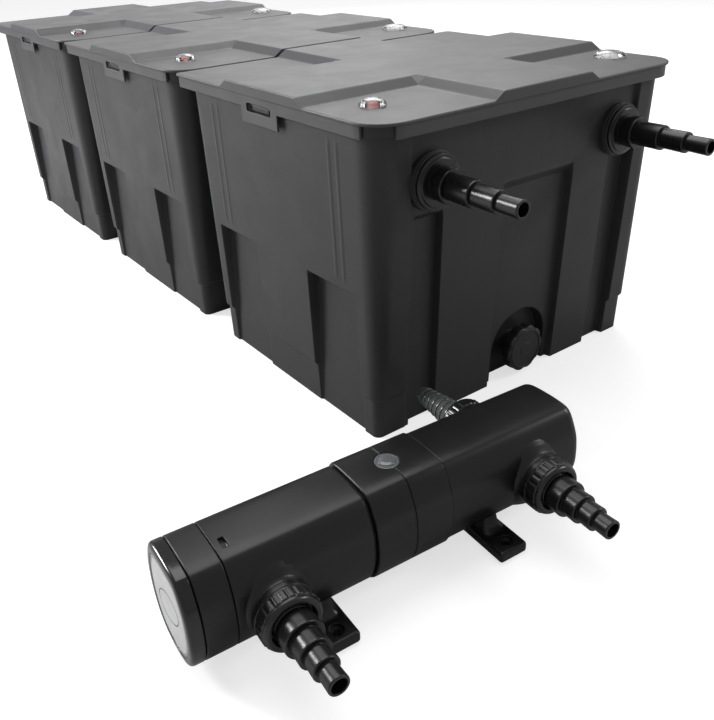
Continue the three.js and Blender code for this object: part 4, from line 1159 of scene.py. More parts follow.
def crate_mesh():
    """The open crate: thin walls with a row of slots in front and back, on a solid floor."""
    x = GRID_HALF_X - 4
    front, back = GRID_Y[0] + 4, GRID_Y[1] - 4
    made = Shape()
    for side in (-1, 1):
        wall = sorted((side * x, side * (x - CRATE_WALL)))
        made.join(block(wall, (front, back), (MEDIA_LOW, CRATE_TOP), 0.8))
    rows = ((front, front + CRATE_WALL), (back - CRATE_WALL, back))
    spacing = 2 * x / CRATE_BARS
    for row in rows:
        made.join(block((-x + 1, x - 1), row, (MEDIA_LOW, MEDIA_LOW + 30), 0.8))
        made.join(block((-x + 1, x - 1), row, (CRATE_TOP - 50, CRATE_TOP), 0.8))
        for bar in range(1, CRATE_BARS):
            at = -x + bar * spacing
            made.join(block((at - 4, at + 4), row, (MEDIA_LOW + 28, CRATE_TOP - 48), 0.8, 1))
    made.join(block((-x + 2, x - 2), (front + 2, back - 2), (MEDIA_LOW, MEDIA_LOW + CRATE_WALL), 0.8))
    return mesh_of("media_crate", made)


def bed_mesh():
    """Loose ceramic rings: a full layer on top and behind the crate's slots, round a hidden core."""
    chance = random.Random(41)
    x = GRID_HALF_X - 9
    front, back = GRID_Y[0] + 9, GRID_Y[1] - 9
    low, high = MEDIA_LOW + CRATE_WALL + GAP, CRATE_TOP - 8
    one = lathe([(3.6, -6.5), (7.2, -6.5), (7.2, 6.5), (3.6, 6.5)], 14, 0.8, closed=True)
    made = block((-x + 12, x - 12), (front + 12, back - 12), (low, high - 12), 2)
    reach = BED_REACH

    def drop(px, py, pz):
        heading, tilt = chance.uniform(0, math.pi), chance.uniform(0, math.pi)
        turn = Matrix.Rotation(heading, 4, "Z") @ Matrix.Rotation(tilt, 4, "X")
        spot = [min(max(value + chance.uniform(-3, 3), lowest + reach), highest - reach)
                for value, lowest, highest in ((px, -x, x), (py, front, back), (pz, low, high))]
        made.join(one.turned(Matrix.Translation(spot) @ turn))

    columns, rows, layers = (int(span / BED_PITCH) for span in (2 * x, back - front, high - low))
    for column in range(columns):
        px = -x + (column + 0.5) * 2 * x / columns
        for row in range(rows):
            drop(px, front + (row + 0.5) * (back - front) / rows, high - 8)
        for layer in range(layers):
            pz = low + (layer + 0.5) * (high - low) / layers
            drop(px, front + 8, pz)
            drop(px, back - 8, pz)
    return mesh_of("bio_media", made, 40, flip_check=False)


# ---------------------------------------------------------------- clarifier


def clarifier_place():
    """The matrix from the clarifier's own axes to the floor, from the axis its end plug turns about."""
    joint = next(j for j in frame["joints"] if j["name"] == "end_plug_turn")
    along = Vector(joint["axis"])
    start = Vector(joint["pos_m"]) - along * UV_LENGTH * MM
    return Matrix((
        (along.x, -along.y, 0, start.x), (along.y, along.x, 0, start.y), (0, 0, 1, 0), (0, 0, 0, 1),
    ))


def smooth_outline(points, steps):
    """More points along a half outline, on a smooth curve through the given ones."""
    mirror_start, mirror_end = (-points[1][0], points[1][1]), (-points[-2][0], points[-2][1])
    line = [np.array(p, float) for p in (mirror_start, *points, mirror_end)]
    made = []
    for p0, p1, p2, p3 in zip(line, line[1:], line[2:], line[3:]):
        made.extend(tuple(on_curve(p0, p1, p2, p3, step / steps)) for step in range(steps))
    return made + [points[-1]]


UV_FINE = smooth_outline(UV_OUTLINE, 2)


def barrel_ring(u, inset):
    """The barrel's outline at one place along it, drawn in all round."""
    spread_v = (UV_HALF_WIDTH - inset) / UV_HALF_WIDTH
    spread_z = (UV_HALF_HEIGHT - inset) / UV_HALF_HEIGHT
    right = [(u, v * spread_v, UV_AXIS + (z - UV_AXIS) * spread_z) for v, z in UV_FINE]
    return right + [(u, -v, z) for _, v, z in reversed(right[1:-1])]


def barrel(profile, capped=True):
    """A skin along the barrel through (place, inset) pairs."""
    return loft([barrel_ring(u, inset) for u, inset in profile], capped, capped)


def on_axis(shape):
    """A shape about Z laid along the barrel's axis."""
    return shape.turned(RIGHT).moved(0, 0, UV_AXIS)


def turned_to_port(shape, port):
    u, facing = UV_PORTS[port]
    return shape.turned(FRONT if facing < 0 else BACK).moved(u, 0, UV_AXIS)


def foot(u):
    """A cross-bar with rounded ends and a bolt seat at each, blending up into the barrel's underside."""
    reach, half = UV_FOOT_REACH, UV_FOOT_HALF
    made = block((u - half, u + half), (-reach, reach), (0, UV_FOOT_HEIGHT), 3.6, 4)
    rings = []
    for z, grow in ((11.5, 0), (13.4, -2.2), (16.5, -4.6), (21, -6.2), (30, -7.4)):
        rings.append([
            (u + (half - 0.6 + grow) * cx, (52 + grow * 1.6) * cy, z) for cx, cy in ROUND_SQUARE
        ])
    return made.join(loft(rings))


def bolt_hole(u, v):
    wide, narrow = UV_BOLT * 1.9, UV_BOLT
    return lathe([
        (0, -2), (narrow, -2), (narrow, UV_FOOT_HEIGHT - 4), (wide, UV_FOOT_HEIGHT - 3.6),
        (wide, UV_FOOT_HEIGHT + 2), (0, UV_FOOT_HEIGHT + 2),
    ], 32, 0.2).moved(u, v, 0)


def spigot(port):
    """A port's outside: a soft flare out of the barrel's side, a collar, and a plain neck under the nut."""
    return turned_to_port(lathe([
        (0, 30), (44, 37), (40, 42.5), (36, 46.4), (32.5, 49.2), (29.8, 51.6), (28.6, 54.2), (28.2, 56.2),
        (24, 56.4), (24, UV_SPIGOT_END), (0, UV_SPIGOT_END),
    ], 96, 0.5), port)


def port_bore(port):
    return turned_to_port(plain_bar(UV_BORE, 20, UV_SPIGOT_END + 2, 48), port)


def housing_mesh(name, outside, inside, ports, foot_u, extra_cut):
    """One half of the barrel: its skin joined with spigots and a foot, then hollowed and bored."""
    mesh = mesh_of(name, outside)
    for addition in [spigot(port) for port in ports] + [foot(foot_u)]:
        mesh = combined(mesh, addition, "UNION")
    cutters = inside
    for v in (-UV_BOLT_AT, UV_BOLT_AT):
        cutters.join(bolt_hole(foot_u, v))
    mesh = combined(mesh, cutters, "DIFFERENCE")
    for port in ports:
        mesh = combined(mesh, port_bore(port), "DIFFERENCE")
    mesh = combined(mesh, extra_cut, "DIFFERENCE")
    finish_shading(mesh, 40)
    return mesh


def housing_left_mesh():
    start, low, seat = UV_HEAD_END, UV_BAND[0], UV_BAND_SEAT
    outside = barrel([
        (start + 0.3, 1.2), (start + 0.5, 0.45), (start + 1.2, 0),
        (low - 4.4, 0), (low - 3.4, 0.5), (low - 2.9, 1.6),
        (low - 1.4, 1.7), (low - 1.2, seat), (UV_JOIN - GAP / 2, seat),
    ])
    inside = barrel([(start - 1, UV_WALL), (UV_JOIN + 1, UV_WALL)])
    slot = block((52, 58), (-18, -4), (119.5, 126), 1.4, 3)
    return housing_mesh("uv_housing_left", outside, inside, ("front_left",), UV_FEET[0], slot)


def housing_right_mesh():
    high, end, seat = UV_BAND[1], UV_LENGTH, UV_BAND_SEAT
    outside = barrel([
        (UV_JOIN + GAP / 2, seat), (high + GAP, seat), (high + 0.4, 0.8), (high + 1.0, 0.2), (high + 2, 0),
        (end - 11, 0), (end - 8, 0.25), (end - 5.4, 0.95), (end - 3, 2.1),
        (end - 1.3, 3.7), (end - 0.3, 5.9), (end, 8), (end, 12),
    ])
    inside = barrel([(UV_JOIN - 1, UV_WALL), (end - 8, UV_WALL)])
    hole = on_axis(plain_bar(UV_PLUG_SHANK + GAP, end - 12, end + 2, 48))
    ports = ("front_right", "rear")
    return housing_mesh("uv_housing_right", outside, inside, ports, UV_FEET[1], hole)


def band_mesh():
    """The belt over the barrel's middle joint, split by a fine seam, with a hole for the indicator."""
    low, high = UV_BAND
    proud, seat = -UV_PROUD, 3.0
    profile = [
        (low, seat), (low, -0.4), (low + 0.6, -1.3), (low + 1.8, proud), (UV_JOIN - 1.3, proud),
        (UV_JOIN - 0.9, proud + 0.15), (UV_JOIN - 0.5, proud + 1.1), (UV_JOIN + 0.5, proud + 1.1),
        (UV_JOIN + 0.9, proud + 0.15), (UV_JOIN + 1.3, proud), (high - 1.4, proud), (high - 0.5, -1.4),
        (high, -0.7), (high, seat),
    ]
    skin = barrel(profile + [profile[0]], False)
    hole = plain_bar(UV_LENS + GAP, UV_LENS_SEAT, UV_LENS_SEAT + 6, 64).moved(UV_JOIN, 0, 0)
    return cut_out("uv_band", skin, (hole,), 36)


def indicator_mesh():
    low = UV_LENS_SEAT + GAP
    radius = UV_LENS
    return mesh_of("uv_indicator_lens", lathe([
        (0, low), (radius, low), (radius, low + 0.8), (radius * 0.93, low + 1.2),
        (radius * 0.74, low + 1.3), (radius * 0.70, low + 0.9), (radius * 0.66, low + 2.0),
        (radius * 0.4, low + 2.9), (0, low + 3.2),
    ], 64, 0.3).moved(UV_JOIN, 0, 0), 30)


def end_plug_mesh():
    """The plug in the barrel's far end, with a slot across its face."""
    seat = UV_LENGTH + GAP
    plug = lathe([
        (0, seat - 12), (UV_PLUG_SHANK, seat - 12), (UV_PLUG_SHANK, seat), (24, seat), (24, seat + 3.2),
        (23, seat + 5), (21, seat + 6.8), (17.5, seat + 7.8), (8, seat + 8), (0, seat + 8),
    ], 72, 0.8)
    slot = block((seat + 5.4, seat + 10), (-11, 11), (UV_AXIS - 1.6, UV_AXIS + 1.6), 0.6)
    return cut_out("uv_end_plug", on_axis(plug), (slot,), 34)


def head_mesh():
    """The lamp head: a cap on the barrel's end, with a neck that enters it and a groove for the seal."""
    neck, (low, high, floor) = UV_NECK, UV_SEAL_GROOVE
    outside = barrel([
        (14.3, 1.7), (14.5, 0.7), (15.2, 0), (43.8, 0), (44.5, 0.5), (44.7, 1.3), (44.7, neck),
        (low, neck), (low, floor), (high, floor), (high, neck), (62, neck), (63, neck + 1),
    ])
    hollow = barrel([(13, 5), (33, 5)])
    hollow.join(on_axis(plain_bar(SLEEVE_RADIUS + GAP, 20, 64, 48)))
    gland = plain_bar(5.3, 30, 60, 32).turned(BACK).moved(CABLE_U, 0, CABLE_Z)
    return cut_out("uv_head", outside, (hollow, gland), 36)


def bezel_mesh():
    """The glossy end ring of the head: a rolled front edge round the recess for the label."""
    return mesh_of("uv_bezel", barrel([
        (1.6, 9), (0.5, 9), (0.15, 8.5), (0.02, 7.6), (0, 6.6), (0.03, 4.2), (0.5, 2.5), (1.3, 1.25),
        (2.6, 0.4), (4.2, 0.05), (6, 0), (12.9, 0), (13.6, 0.5), (14, 1.5),
    ]), 32)


def head_seal_mesh():
    profile = [(50.3, 8.9), (50.5, 6.6), (51.4, 6.25), (52.6, 6.25), (53.5, 6.6), (53.7, 8.9)]
    return mesh_of("uv_head_seal", barrel(profile + [profile[0]], False))


def label_meshes():
    """The end label: a silvery plate, a paler field on it, and a plain thin oval tilted across the field."""
    plate = mesh_of("uv_label", barrel([(1.3, 9.3), (0.55, 9.3), (0.5, 9.5)]))
    field = mesh_of("uv_label_field", barrel([(0.5, 12.5), (0.44, 12.6)]))
    oval, turn = [], Matrix.Rotation(math.radians(-24), 4, "X")
    angles = [math.tau * step / 96 for step in range(96)]
    for reach_v, reach_z, u in ((27, 17, 0.42), (27, 17, 0.36), (25.6, 15.6, 0.36), (25.6, 15.6, 0.42)):
        oval.append([(u, reach_v * math.cos(angle), reach_z * math.sin(angle)) for angle in angles])
    line = loft(oval + [oval[0]], False, False).turned(turn).moved(0, 0, UV_AXIS + 2)
    return plate, field, mesh_of("uv_label_line", line)


def nut_mesh():
    """A union nut: fine grip grooves, a smooth chamfered front ring, and a wide mouth with an inner lip."""
    steps = NUT_GROOVES * 10

    def grip(angle):
        return NUT_RADIUS - NUT_GROOVE * (0.5 + 0.5 * math.cos(NUT_GROOVES * angle)) ** 3

    outer = outline_loop(steps, grip)
    plain = outline_loop(steps, lambda angle: 1.0)
    back = ((57, 29.2), (57.5, 30.1), (58.4, 30.4), (63.2, 30.4), (63.6, 29.6), (64.8, 29.5))
    grips = ((65.2, 0.985), (65.8, 1.0), (75.4, 1.0), (76.2, 0.985))
    front = ((76.9, 29.0), (77.4, 29.2), (79.2, 28.9), (80.9, 27.9), (81.8, 26.5), (82, 25.6), (82, 23.4))
    mouth = ((81.6, 22.7), (80.2, 22.2), (77.5, 20.9), (75.9, 20.6), (75.8, 24.7), (57.6, 24.7), (57, 25.4))
    rings = [at_height(plain, *ring) for ring in back]
    rings += [at_height(outer, *ring) for ring in grips]
    rings += [at_height(plain, *ring) for ring in front + mouth]
    return mesh_of("uv_nut", loft(rings + [rings[0]], False, False), 32)


def tail_root(neck, height):
    """The start of a tail's profile: its bore, the flange that the union nut holds, and the neck."""
    seat, low = UV_SPIGOT_END + GAP, UV_SPIGOT_END + GAP + UV_FLANGE_HEIGHT
    return [(UV_TAIL_BORE, seat), (UV_FLANGE, seat), (UV_FLANGE, low), (neck, low), (neck, height)]


def tail_bore(end):
    """The end of a tail's profile, back down its bore."""
    return [(BORE_NARROW, end), (BORE_NARROW, end - 30), (UV_TAIL_BORE, end - 50)]


def clarifier_tail_mesh():
    steps, end = stepped_tail(UV_TAIL_START, UV_TAIL_STEPS)
    profile = tail_root(19.6, UV_TAIL_START - 1) + steps + tail_bore(end)
    return mesh_of("uv_tail", lathe(profile, 72, 0.45, closed=True), 30)


def barbed_tail_mesh():
    """The rear tail, with a row of barbs in place of steps."""
    count, length, crest, shrink, depth = UV_BARBS
    end = UV_TAIL_START + count * length
    points = []
    for barb in range(count):
        height, top = UV_TAIL_START + barb * length, crest - barb * shrink
        points += [(top, height), (top, height + 1.3), (top - depth, height + length - 0.5)]
    profile = tail_root(18.8, UV_TAIL_START - 0.4) + points + [(points[-1][0], end)] + tail_bore(end)
    return mesh_of("uv_tail_rear", lathe(profile, 72, 0.35, closed=True), 26)


def lamp_meshes():
    """The lamp inside: a ceramic base, and two glass legs joined near their far ends."""
    base = lathe([(0, 18), (12.6, 18), (12.6, 60), (11.6, 62), (11.6, 72), (0, 72)], 40, 0.8)
    low, high = LAMP_SPAN
    leg = lathe([(0, low), (LAMP_LEG, low), (LAMP_LEG, high - 4), (3.4, high - 0.6), (0, high)], 28, 1.2)
    legs = leg.moved(LAMP_SPREAD, 0, 0).join(leg.moved(-LAMP_SPREAD, 0, 0))
    bridge = lathe([(0, -3), (2.6, -3), (2.6, 3), (0, 3)], 20, 0.4).turned(RIGHT).moved(0, 0, high - 9)
    shapes = (base, legs.join(bridge))
    names = ("uv_lamp_base", "uv_lamp")
    return [mesh_of(name, on_axis(shape)) for name, shape in zip(names, shapes)]


def sleeve_mesh():
    """The quartz tube, open at the head's end and domed at the other."""
    radius, (low, high), wall = SLEEVE_RADIUS, SLEEVE_SPAN, SLEEVE_WALL
    outer = [
        (radius, low), (radius, high - 12), (radius * 0.9, high - 6), (radius * 0.6, high - 1.6), (0, high),
    ]
    inner = [
        (0, high - wall), (radius * 0.54, high - 3.2), (radius * 0.8, high - 7), (radius - wall, high - 13),
        (radius - wall, low), (radius, low),
    ]
    return mesh_of("uv_quartz_sleeve", on_axis(lathe(outer + inner, 56, 0.3)), 40)


def cable_mesh():
    """The cut mains lead: out of the head's gland, down to the floor and along behind the barrel."""
    lead = tube([
        (CABLE_U, 44.5, CABLE_Z), (CABLE_U, 60, CABLE_Z - 2), (CABLE_U + 2, 78, CABLE_Z - 16),
        (CABLE_U + 14, 88, 12), (CABLE_U + 36, 90, 5.2), (CABLE_U + 72, 90, 5),
    ], CABLE_RADIUS, 24)
    gland = lathe([
        (0, 44), (5.1, 44), (5.1, 49), (7.4, 49.2), (7.4, 53), (6, 55), (4.6, 60), (0, 60),
    ], 32, 0.5)
    return mesh_of("uv_cable", lead.join(gland.turned(BACK).moved(CABLE_U, 0, CABLE_Z)), 40)


# ---------------------------------------------------------------- materials


class Look:
    """A node material in the making. Patterns are laid out in metres and shifted from piece to piece."""

    def __init__(self, name, roughness=0.5, **settings):
        self.material = bpy.data.materials.new(name)
        self.material.use_nodes = True
        self.tree = self.material.node_tree
        self.shader = self.tree.nodes["Principled BSDF"]
        self.set(self.shader, {"Roughness": roughness, **settings})
        coords = self.node("ShaderNodeTexCoord").outputs["Object"]
        chance = self.node("ShaderNodeObjectInfo").outputs["Random"]
        shift = self.node("ShaderNodeMath", {0: chance, 1: 7.0}, operation="MULTIPLY").outputs[0]
        self.coords = self.node("ShaderNodeVectorMath", {0: coords, 1: shift}, operation="ADD").outputs[0]

    def set(self, node, inputs):
        for key, value in inputs.items():
            if isinstance(value, bpy.types.NodeSocket):
                self.tree.links.new(value, node.inputs[key])
            else:
                node.inputs[key].default_value = value

    def node(self, kind, inputs=None, **settings):
        node = self.tree.nodes.new(kind)
        for key, value in settings.items():
            setattr(node, key, value)
        self.set(node, inputs or {})
        return node

    def stretched(self, stretch):
        inputs = {0: self.coords, 1: stretch}
        return self.node("ShaderNodeVectorMath", inputs, operation="MULTIPLY").outputs[0]

    def noise(self, scale, detail=4.0, stretch=None, distortion=0.0):
        inputs = {
            "Vector": self.stretched(stretch) if stretch else self.coords,
            "Scale": scale, "Detail": detail, "Distortion": distortion,
        }
        return self.node("ShaderNodeTexNoise", inputs).outputs["Fac"]

    def cells(self, scale, feature="F1", stretch=None):
        inputs = {"Vector": self.stretched(stretch) if stretch else self.coords, "Scale": scale}
        return self.node("ShaderNodeTexVoronoi", inputs, feature=feature).outputs["Distance"]

    def between(self, value, low, high, start=0.0, end=1.0):
        """The value's stretch from low to high, spread over start to end and clamped."""
        inputs = {"Value": value, "From Min": low, "From Max": high, "To Min": start, "To Max": end}
        return self.node("ShaderNodeMapRange", inputs).outputs["Result"]

    def mix(self, share, first, second):
        inputs = {"Factor": share, 6: first, 7: second}
        return self.node("ShaderNodeMix", inputs, data_type="RGBA").outputs[2]

    def bump(self, height, strength, distance, normal=None):
        inputs = {"Height": height, "Strength": strength, "Distance": distance * MM}
        if normal is not None:
            inputs["Normal"] = normal
        return self.node("ShaderNodeBump", inputs).outputs["Normal"]

    def rounded(self, radius, samples=4):
        """The surface direction with every edge and inner corner rounded by this many millimetres."""
        return self.node("ShaderNodeBevel", {"Radius": radius * MM}, samples=samples).outputs["Normal"]

    def edges(self, rounded_normal):
        """Close to 1 along edges, where the rounded direction leans away from the true one."""
        true = self.node("ShaderNodeNewGeometry").outputs["Normal"]
        same = self.node("ShaderNodeVectorMath", {0: rounded_normal, 1: true}, operation="DOT_PRODUCT")
        return self.between(same.outputs["Value"], 0.995, 0.87)

    def times(self, first, second):
        return self.node("ShaderNodeMath", {0: first, 1: second}, operation="MULTIPLY").outputs[0]

    def paint(self, colour=None, roughness=None, normal=None, **others):
        inputs = {"Base Color": colour, "Roughness": roughness, "Normal": normal, **others}
        self.set(self.shader, {key: value for key, value in inputs.items() if value is not None})
        return self.material


def shade(colour, factor):
    return (*(min(1.0, c * factor) for c in colour), 1.0)


def plastic(name, colour, roughness, mottle=0.12, grain=0.35, grain_size=0.7, streaks=0.0,
            rounding=0.8, edge_wear_and_highlight=0.35, **settings):
    """Moulded plastic: uneven tone, a fine spark-eroded grain, flow streaks, and edges painted lighter as
    rubbed wear and a painted highlight.
    """
    look = Look(name, roughness, **settings)
    normal = look.rounded(rounding)
    # edge mask: where the rounded direction leans away, at outer edges and inner corners; it lightens the
    # colour as wear and as a painted edge highlight
    edge = look.times(look.edges(normal), look.between(look.noise(60, 5), 0.42, 0.62))
    patches = look.between(look.noise(7, 6), 0.3, 0.7)
    tone = look.mix(patches, shade(colour, 1 - mottle), shade(colour, 1 + mottle))
    if streaks:
        lines = look.between(look.noise(1.0, 3, (420, 420, 3.5)), 0.38, 0.66)
        tone = look.mix(look.times(lines, streaks), tone, shade(colour, 1.55))
    speckle = look.between(look.noise(520 / grain_size, 2), 0.62, 0.74)
    tone = look.mix(look.times(speckle, 0.16), tone, shade(colour, 1.8))
    # edges painted lighter: part rubbed wear, part painted highlight
    tone = look.mix(look.times(edge, edge_wear_and_highlight), tone, shade(colour, 2.3))
    rubbed = look.between(look.noise(16, 7, distortion=0.6), 0.35, 0.68, roughness - 0.03, roughness + 0.05)
    fine = look.noise(900 / grain_size, 3)
    waves = look.noise(22, 2)
    normal = look.bump(waves, 0.05, 1.0, look.bump(fine, grain, 0.12, normal))
    return look.paint(tone, rubbed, normal)


def clear(name, colour, roughness=0.03, **settings):
    """Clear moulding or glass with faint waviness and a few dull patches."""
    look = Look(name, roughness, IOR=1.49, **{"Transmission Weight": 1.0}, **settings)
    tone = look.mix(look.between(look.noise(30, 4), 0.3, 0.7), shade(colour, 0.96), shade(colour, 1.0))
    dull = look.between(look.noise(70, 6), 0.5, 0.8, roughness, roughness + 0.12)
    return look.paint(tone, dull, look.bump(look.noise(45, 2), 0.12, 0.5))


def rubber(name, colour):
    """Matt rubber with dust on it."""
    look = Look(name, 0.7, **{"Sheen Weight": 0.15})
    dust = look.between(look.noise(45, 7), 0.48, 0.75)
    tone = look.mix(look.times(dust, 0.4), shade(colour, 1), shade(colour, 2.2))
    return look.paint(tone, look.between(dust, 0, 1, 0.55, 0.85), look.bump(look.noise(1400, 3), 0.4, 0.1))


def foam(name, colour, pore):
    """Open-cell foam: pores of a given size in millimetres painted dark as shade, between paler threads."""
    look = Look(name, 0.95, **{"Sheen Weight": 0.25})
    small = look.cells(1000 / pore)
    large = look.cells(430 / pore)
    hole = look.times(look.between(small, 0.15, 0.6), look.between(large, 0.1, 0.7))
    # pores painted dark as shade, threads paler
    tone = look.mix(hole, shade(colour, 0.28), shade(colour, 1.25))
    worn = look.mix(look.between(look.noise(12, 5), 0.35, 0.7), tone, shade(colour, 0.7))
    return look.paint(worn, 0.95, look.bump(hole, 1.0, 1.6))


def matting(name, colour):
    """Springy fibre matting: tangled strands painted light as a highlight, over a dark inside painted as
    shade.
    """
    look = Look(name, 0.6, **{"Sheen Weight": 0.2})
    first = look.between(look.noise(240, 6, (1, 1, 2.2), 2.4), 0.42, 0.6)
    second = look.between(look.noise(170, 5, (2.0, 1, 1), 3.2), 0.42, 0.62)
    strand = look.times(first, second)
    # strands painted light as a highlight, the gaps between them painted dark as shade
    tone = look.mix(strand, shade(colour, 0.18), shade(colour, 1.5))
    return look.paint(tone, look.between(strand, 0, 1, 0.8, 0.45), look.bump(strand, 1.0, 2.6))


def ceramic(name, colour):
    """Porous ceramic: pitted, with a mottled tone, and the pits painted darker as shade."""
    look = Look(name, 0.9)
    tone = look.mix(look.between(look.noise(40, 6), 0.3, 0.7), shade(colour, 0.75), shade(colour, 1.12))
    # pits painted darker as shade
    pits = look.between(look.cells(700), 0.1, 0.5)
    tone = look.mix(pits, shade(colour, 0.5), tone)
    return look.paint(tone, 0.9, look.bump(pits, 0.7, 0.5))


def brushed(name, colour):
    """Silvery label film: fine brush lines and a soft metallic sheen."""
    look = Look(name, 0.32, Metallic=0.75)
    lines = look.noise(1.0, 3, (60, 2600, 60))
    tone = look.mix(lines, shade(colour, 0.8), shade(colour, 1.15))
    return look.paint(tone, look.between(lines, 0.3, 0.7, 0.25, 0.42), look.bump(lines, 0.15, 0.05))


def printed(name, colour, roughness=0.35):
    """Printed or painted film: nearly even, with a faint mottle and orange peel."""
    look = Look(name, roughness, **{"Coat Weight": 0.3})
    tone = look.mix(look.between(look.noise(35, 5), 0.3, 0.7), shade(colour, 0.93), shade(colour, 1.04))
    return look.paint(tone, look.between(look.noise(90, 4), 0.3, 0.7, roughness, roughness + 0.12),
                      look.bump(look.noise(600, 2), 0.12, 0.05))


def floor_look():
    """The studio's white floor."""
    look = Look("floor", 0.75)
    tone = look.mix(look.between(look.noise(1.2, 4), 0.3, 0.7), (*FLOOR_TONE, 1), shade(FLOOR_TONE, 1.02))
    seen = look.node("ShaderNodeLightPath").outputs["Is Camera Ray"]
    glow = look.times(seen, FLOOR_GLOW)
    look.set(look.shader, {"Emission Color": (1, 1, 1, 1), "Emission Strength": glow})
    return look.paint(tone, 0.75, look.bump(look.noise(300, 3), 0.05, 0.2))


LOOKS = {
    "shell": plastic("shell", (0.024, 0.024, 0.026), 0.46, mottle=0.05, streaks=0.16, rounding=1.2,
                     **{"Specular IOR Level": 0.35}),
    "lid": plastic("lid", (0.048, 0.048, 0.051), 0.45, mottle=0.03, grain=0.5, rounding=1.2, edge_wear_and_highlight=0.2),
    "gloss": plastic("gloss", (0.006, 0.006, 0.0065), 0.28, mottle=0.2, grain=0.05, grain_size=1.4,
                     edge_wear_and_highlight=0.15),
    "cap": plastic("cap", (0.009, 0.009, 0.0095), 0.5, grain=0.5, edge_wear_and_highlight=0.3),
    "barrel": plastic("barrel", (0.007, 0.007, 0.0075), 0.32, mottle=0.10, grain=0.45, rounding=1.6,
                      edge_wear_and_highlight=0.25, **{"Specular IOR Level": 0.38}),
    "band": plastic("band", (0.006, 0.006, 0.0065), 0.29, mottle=0.10, grain=0.4, rounding=0.8, edge_wear_and_highlight=0.3,
                    **{"Specular IOR Level": 0.38}),
    "bezel": plastic("bezel", (0.006, 0.006, 0.0065), 0.16, mottle=0.2, grain=0.08, edge_wear_and_highlight=0.2),
    "nut": plastic("nut", (0.006, 0.007, 0.0065), 0.26, mottle=0.15, grain=0.3, edge_wear_and_highlight=0.4, rounding=0.5),
    "grid": plastic("grid", (0.030, 0.030, 0.032), 0.5, grain=0.4, rounding=0.5),
    "crate": plastic("crate", (0.030, 0.105, 0.260), 0.4, grain=0.3, rounding=0.5),
    "red": plastic("red", (0.420, 0.070, 0.045), 0.30, grain=0.1, rounding=0.5, edge_wear_and_highlight=0.1),
    "clear": clear("clear", (0.93, 0.94, 0.95), 0.15),
    "smoked": plastic("smoked", (0.085, 0.090, 0.087), 0.24, mottle=0.25, grain=0.08, edge_wear_and_highlight=0.3,
                      rounding=0.3, **{"Transmission Weight": 0.15, "IOR": 1.46}),
    "quartz": clear("quartz", (0.99, 1.0, 1.0), 0.01),
    "indicator": printed("indicator", (0.10, 0.104, 0.11), 0.14),
    "lamp": printed("lamp", (0.86, 0.88, 0.90), 0.18),
    "lamp_base": printed("lamp_base", (0.80, 0.79, 0.76), 0.5),
    "rubber": rubber("rubber", (0.012, 0.012, 0.012)),
    "cable": rubber("cable", (0.014, 0.014, 0.015)),
    "dial": printed("dial", (0.84, 0.84, 0.82)),
    "dial_ink": printed("dial_ink", (0.02, 0.02, 0.02)),
    "foam_blue": foam("foam_blue", (0.045, 0.13, 0.32), 4.2),
    "foam_dark": foam("foam_dark", (0.055, 0.058, 0.064), 2.4),
    "mat": matting("mat", (0.030, 0.145, 0.055)),
    "ceramic": ceramic("ceramic", (0.50, 0.47, 0.43)),
    "label": brushed("label", (0.36, 0.36, 0.37)),
    "label_field": printed("label_field", (0.58, 0.58, 0.59), 0.3),
    "label_ink": printed("label_ink", (0.05, 0.05, 0.055)),
}


# ---------------------------------------------------------------- putting the pieces in place


def stand_in(node, mesh, look, body, place):
    """The finished piece for one CAD node."""
    show(f"{node}_look", mesh, LOOKS[look], body, place, (node,))


def add_chambers():
    tank, lid, cap = tank_mesh(), lid_mesh(), drain_cap_mesh()
    grid, button = grid_mesh(), float_mesh()
    dirt_lens, thermo_lens = lens_mesh("dirt_lens", *DIRT_LENS), lens_mesh("thermo_lens", *THERMO_LENS)
    thermometer, marks, needle = thermometer_mesh(), dial_marks(), needle_mesh()
    for number in CHAMBERS:
        centre = chamber_centre(number)
        here = metres(*centre)
        lid_body = f"lid_body_{number}"
        stand_in(f"tank_{number}", tank, "shell", "chambers", here)
        stand_in(f"media_grid_{number}", grid, "grid", "chambers", here)
        stand_in(f"lid_{number}", lid, "lid", lid_body, here)
        drain = metres(centre.x + DRAIN_X, centre.y, DRAIN_Z) @ FRONT
        stand_in(f"drain_cap_{number}", cap, "cap", f"drain_cap_body_{number}", drain)
        for node, mesh, look, body, slot in (
            ("dirt_lens", dirt_lens, "clear", lid_body, "clear_plastic"),
            ("dirt_float", button, "red", f"dirt_float_body_{number}", "float_red"),
            ("thermo_lens", thermo_lens, "clear", lid_body, "clear_plastic"),
            ("thermometer", thermometer, "dial", lid_body, "dial_white"),
        ):
            stand_in(f"{node}_{number}", mesh, look, body, under(f"{node}_{number}"))
        dial = under(f"thermometer_{number}")
        show(f"dial_marks_{number}", marks, LOOKS["dial_ink"], lid_body, dial)
        show(f"dial_needle_{number}", needle, LOOKS["red"], lid_body, dial)


def add_fittings():
    pitch = chamber_centre(2).y - chamber_centre(1).y
    tail, nut, link, outlet = inlet_tail_mesh(), backnut_mesh(), link_mesh(pitch), outlet_mesh()
    gasket = gasket_mesh()
    for side, x in zip(("left", "right"), PORT_X):
        front = metres(x, 0, PORT_Z) @ FRONT
        stand_in(f"inlet_tail_{side}", tail, "gloss", "chambers", front)
        stand_in(f"inlet_gasket_{side}", gasket, "rubber", "chambers", front)
        stand_in(f"inlet_nut_{side}", nut, "nut", "chambers", front)
        for node, mesh, step in (("link_12", link, 0), ("link_23", link, 1), ("outlet_pipe", outlet, 2)):
            back = metres(x, step * pitch, PORT_Z) @ BACK
            stand_in(f"{node}_{side}", mesh, "gloss", "chambers", back)


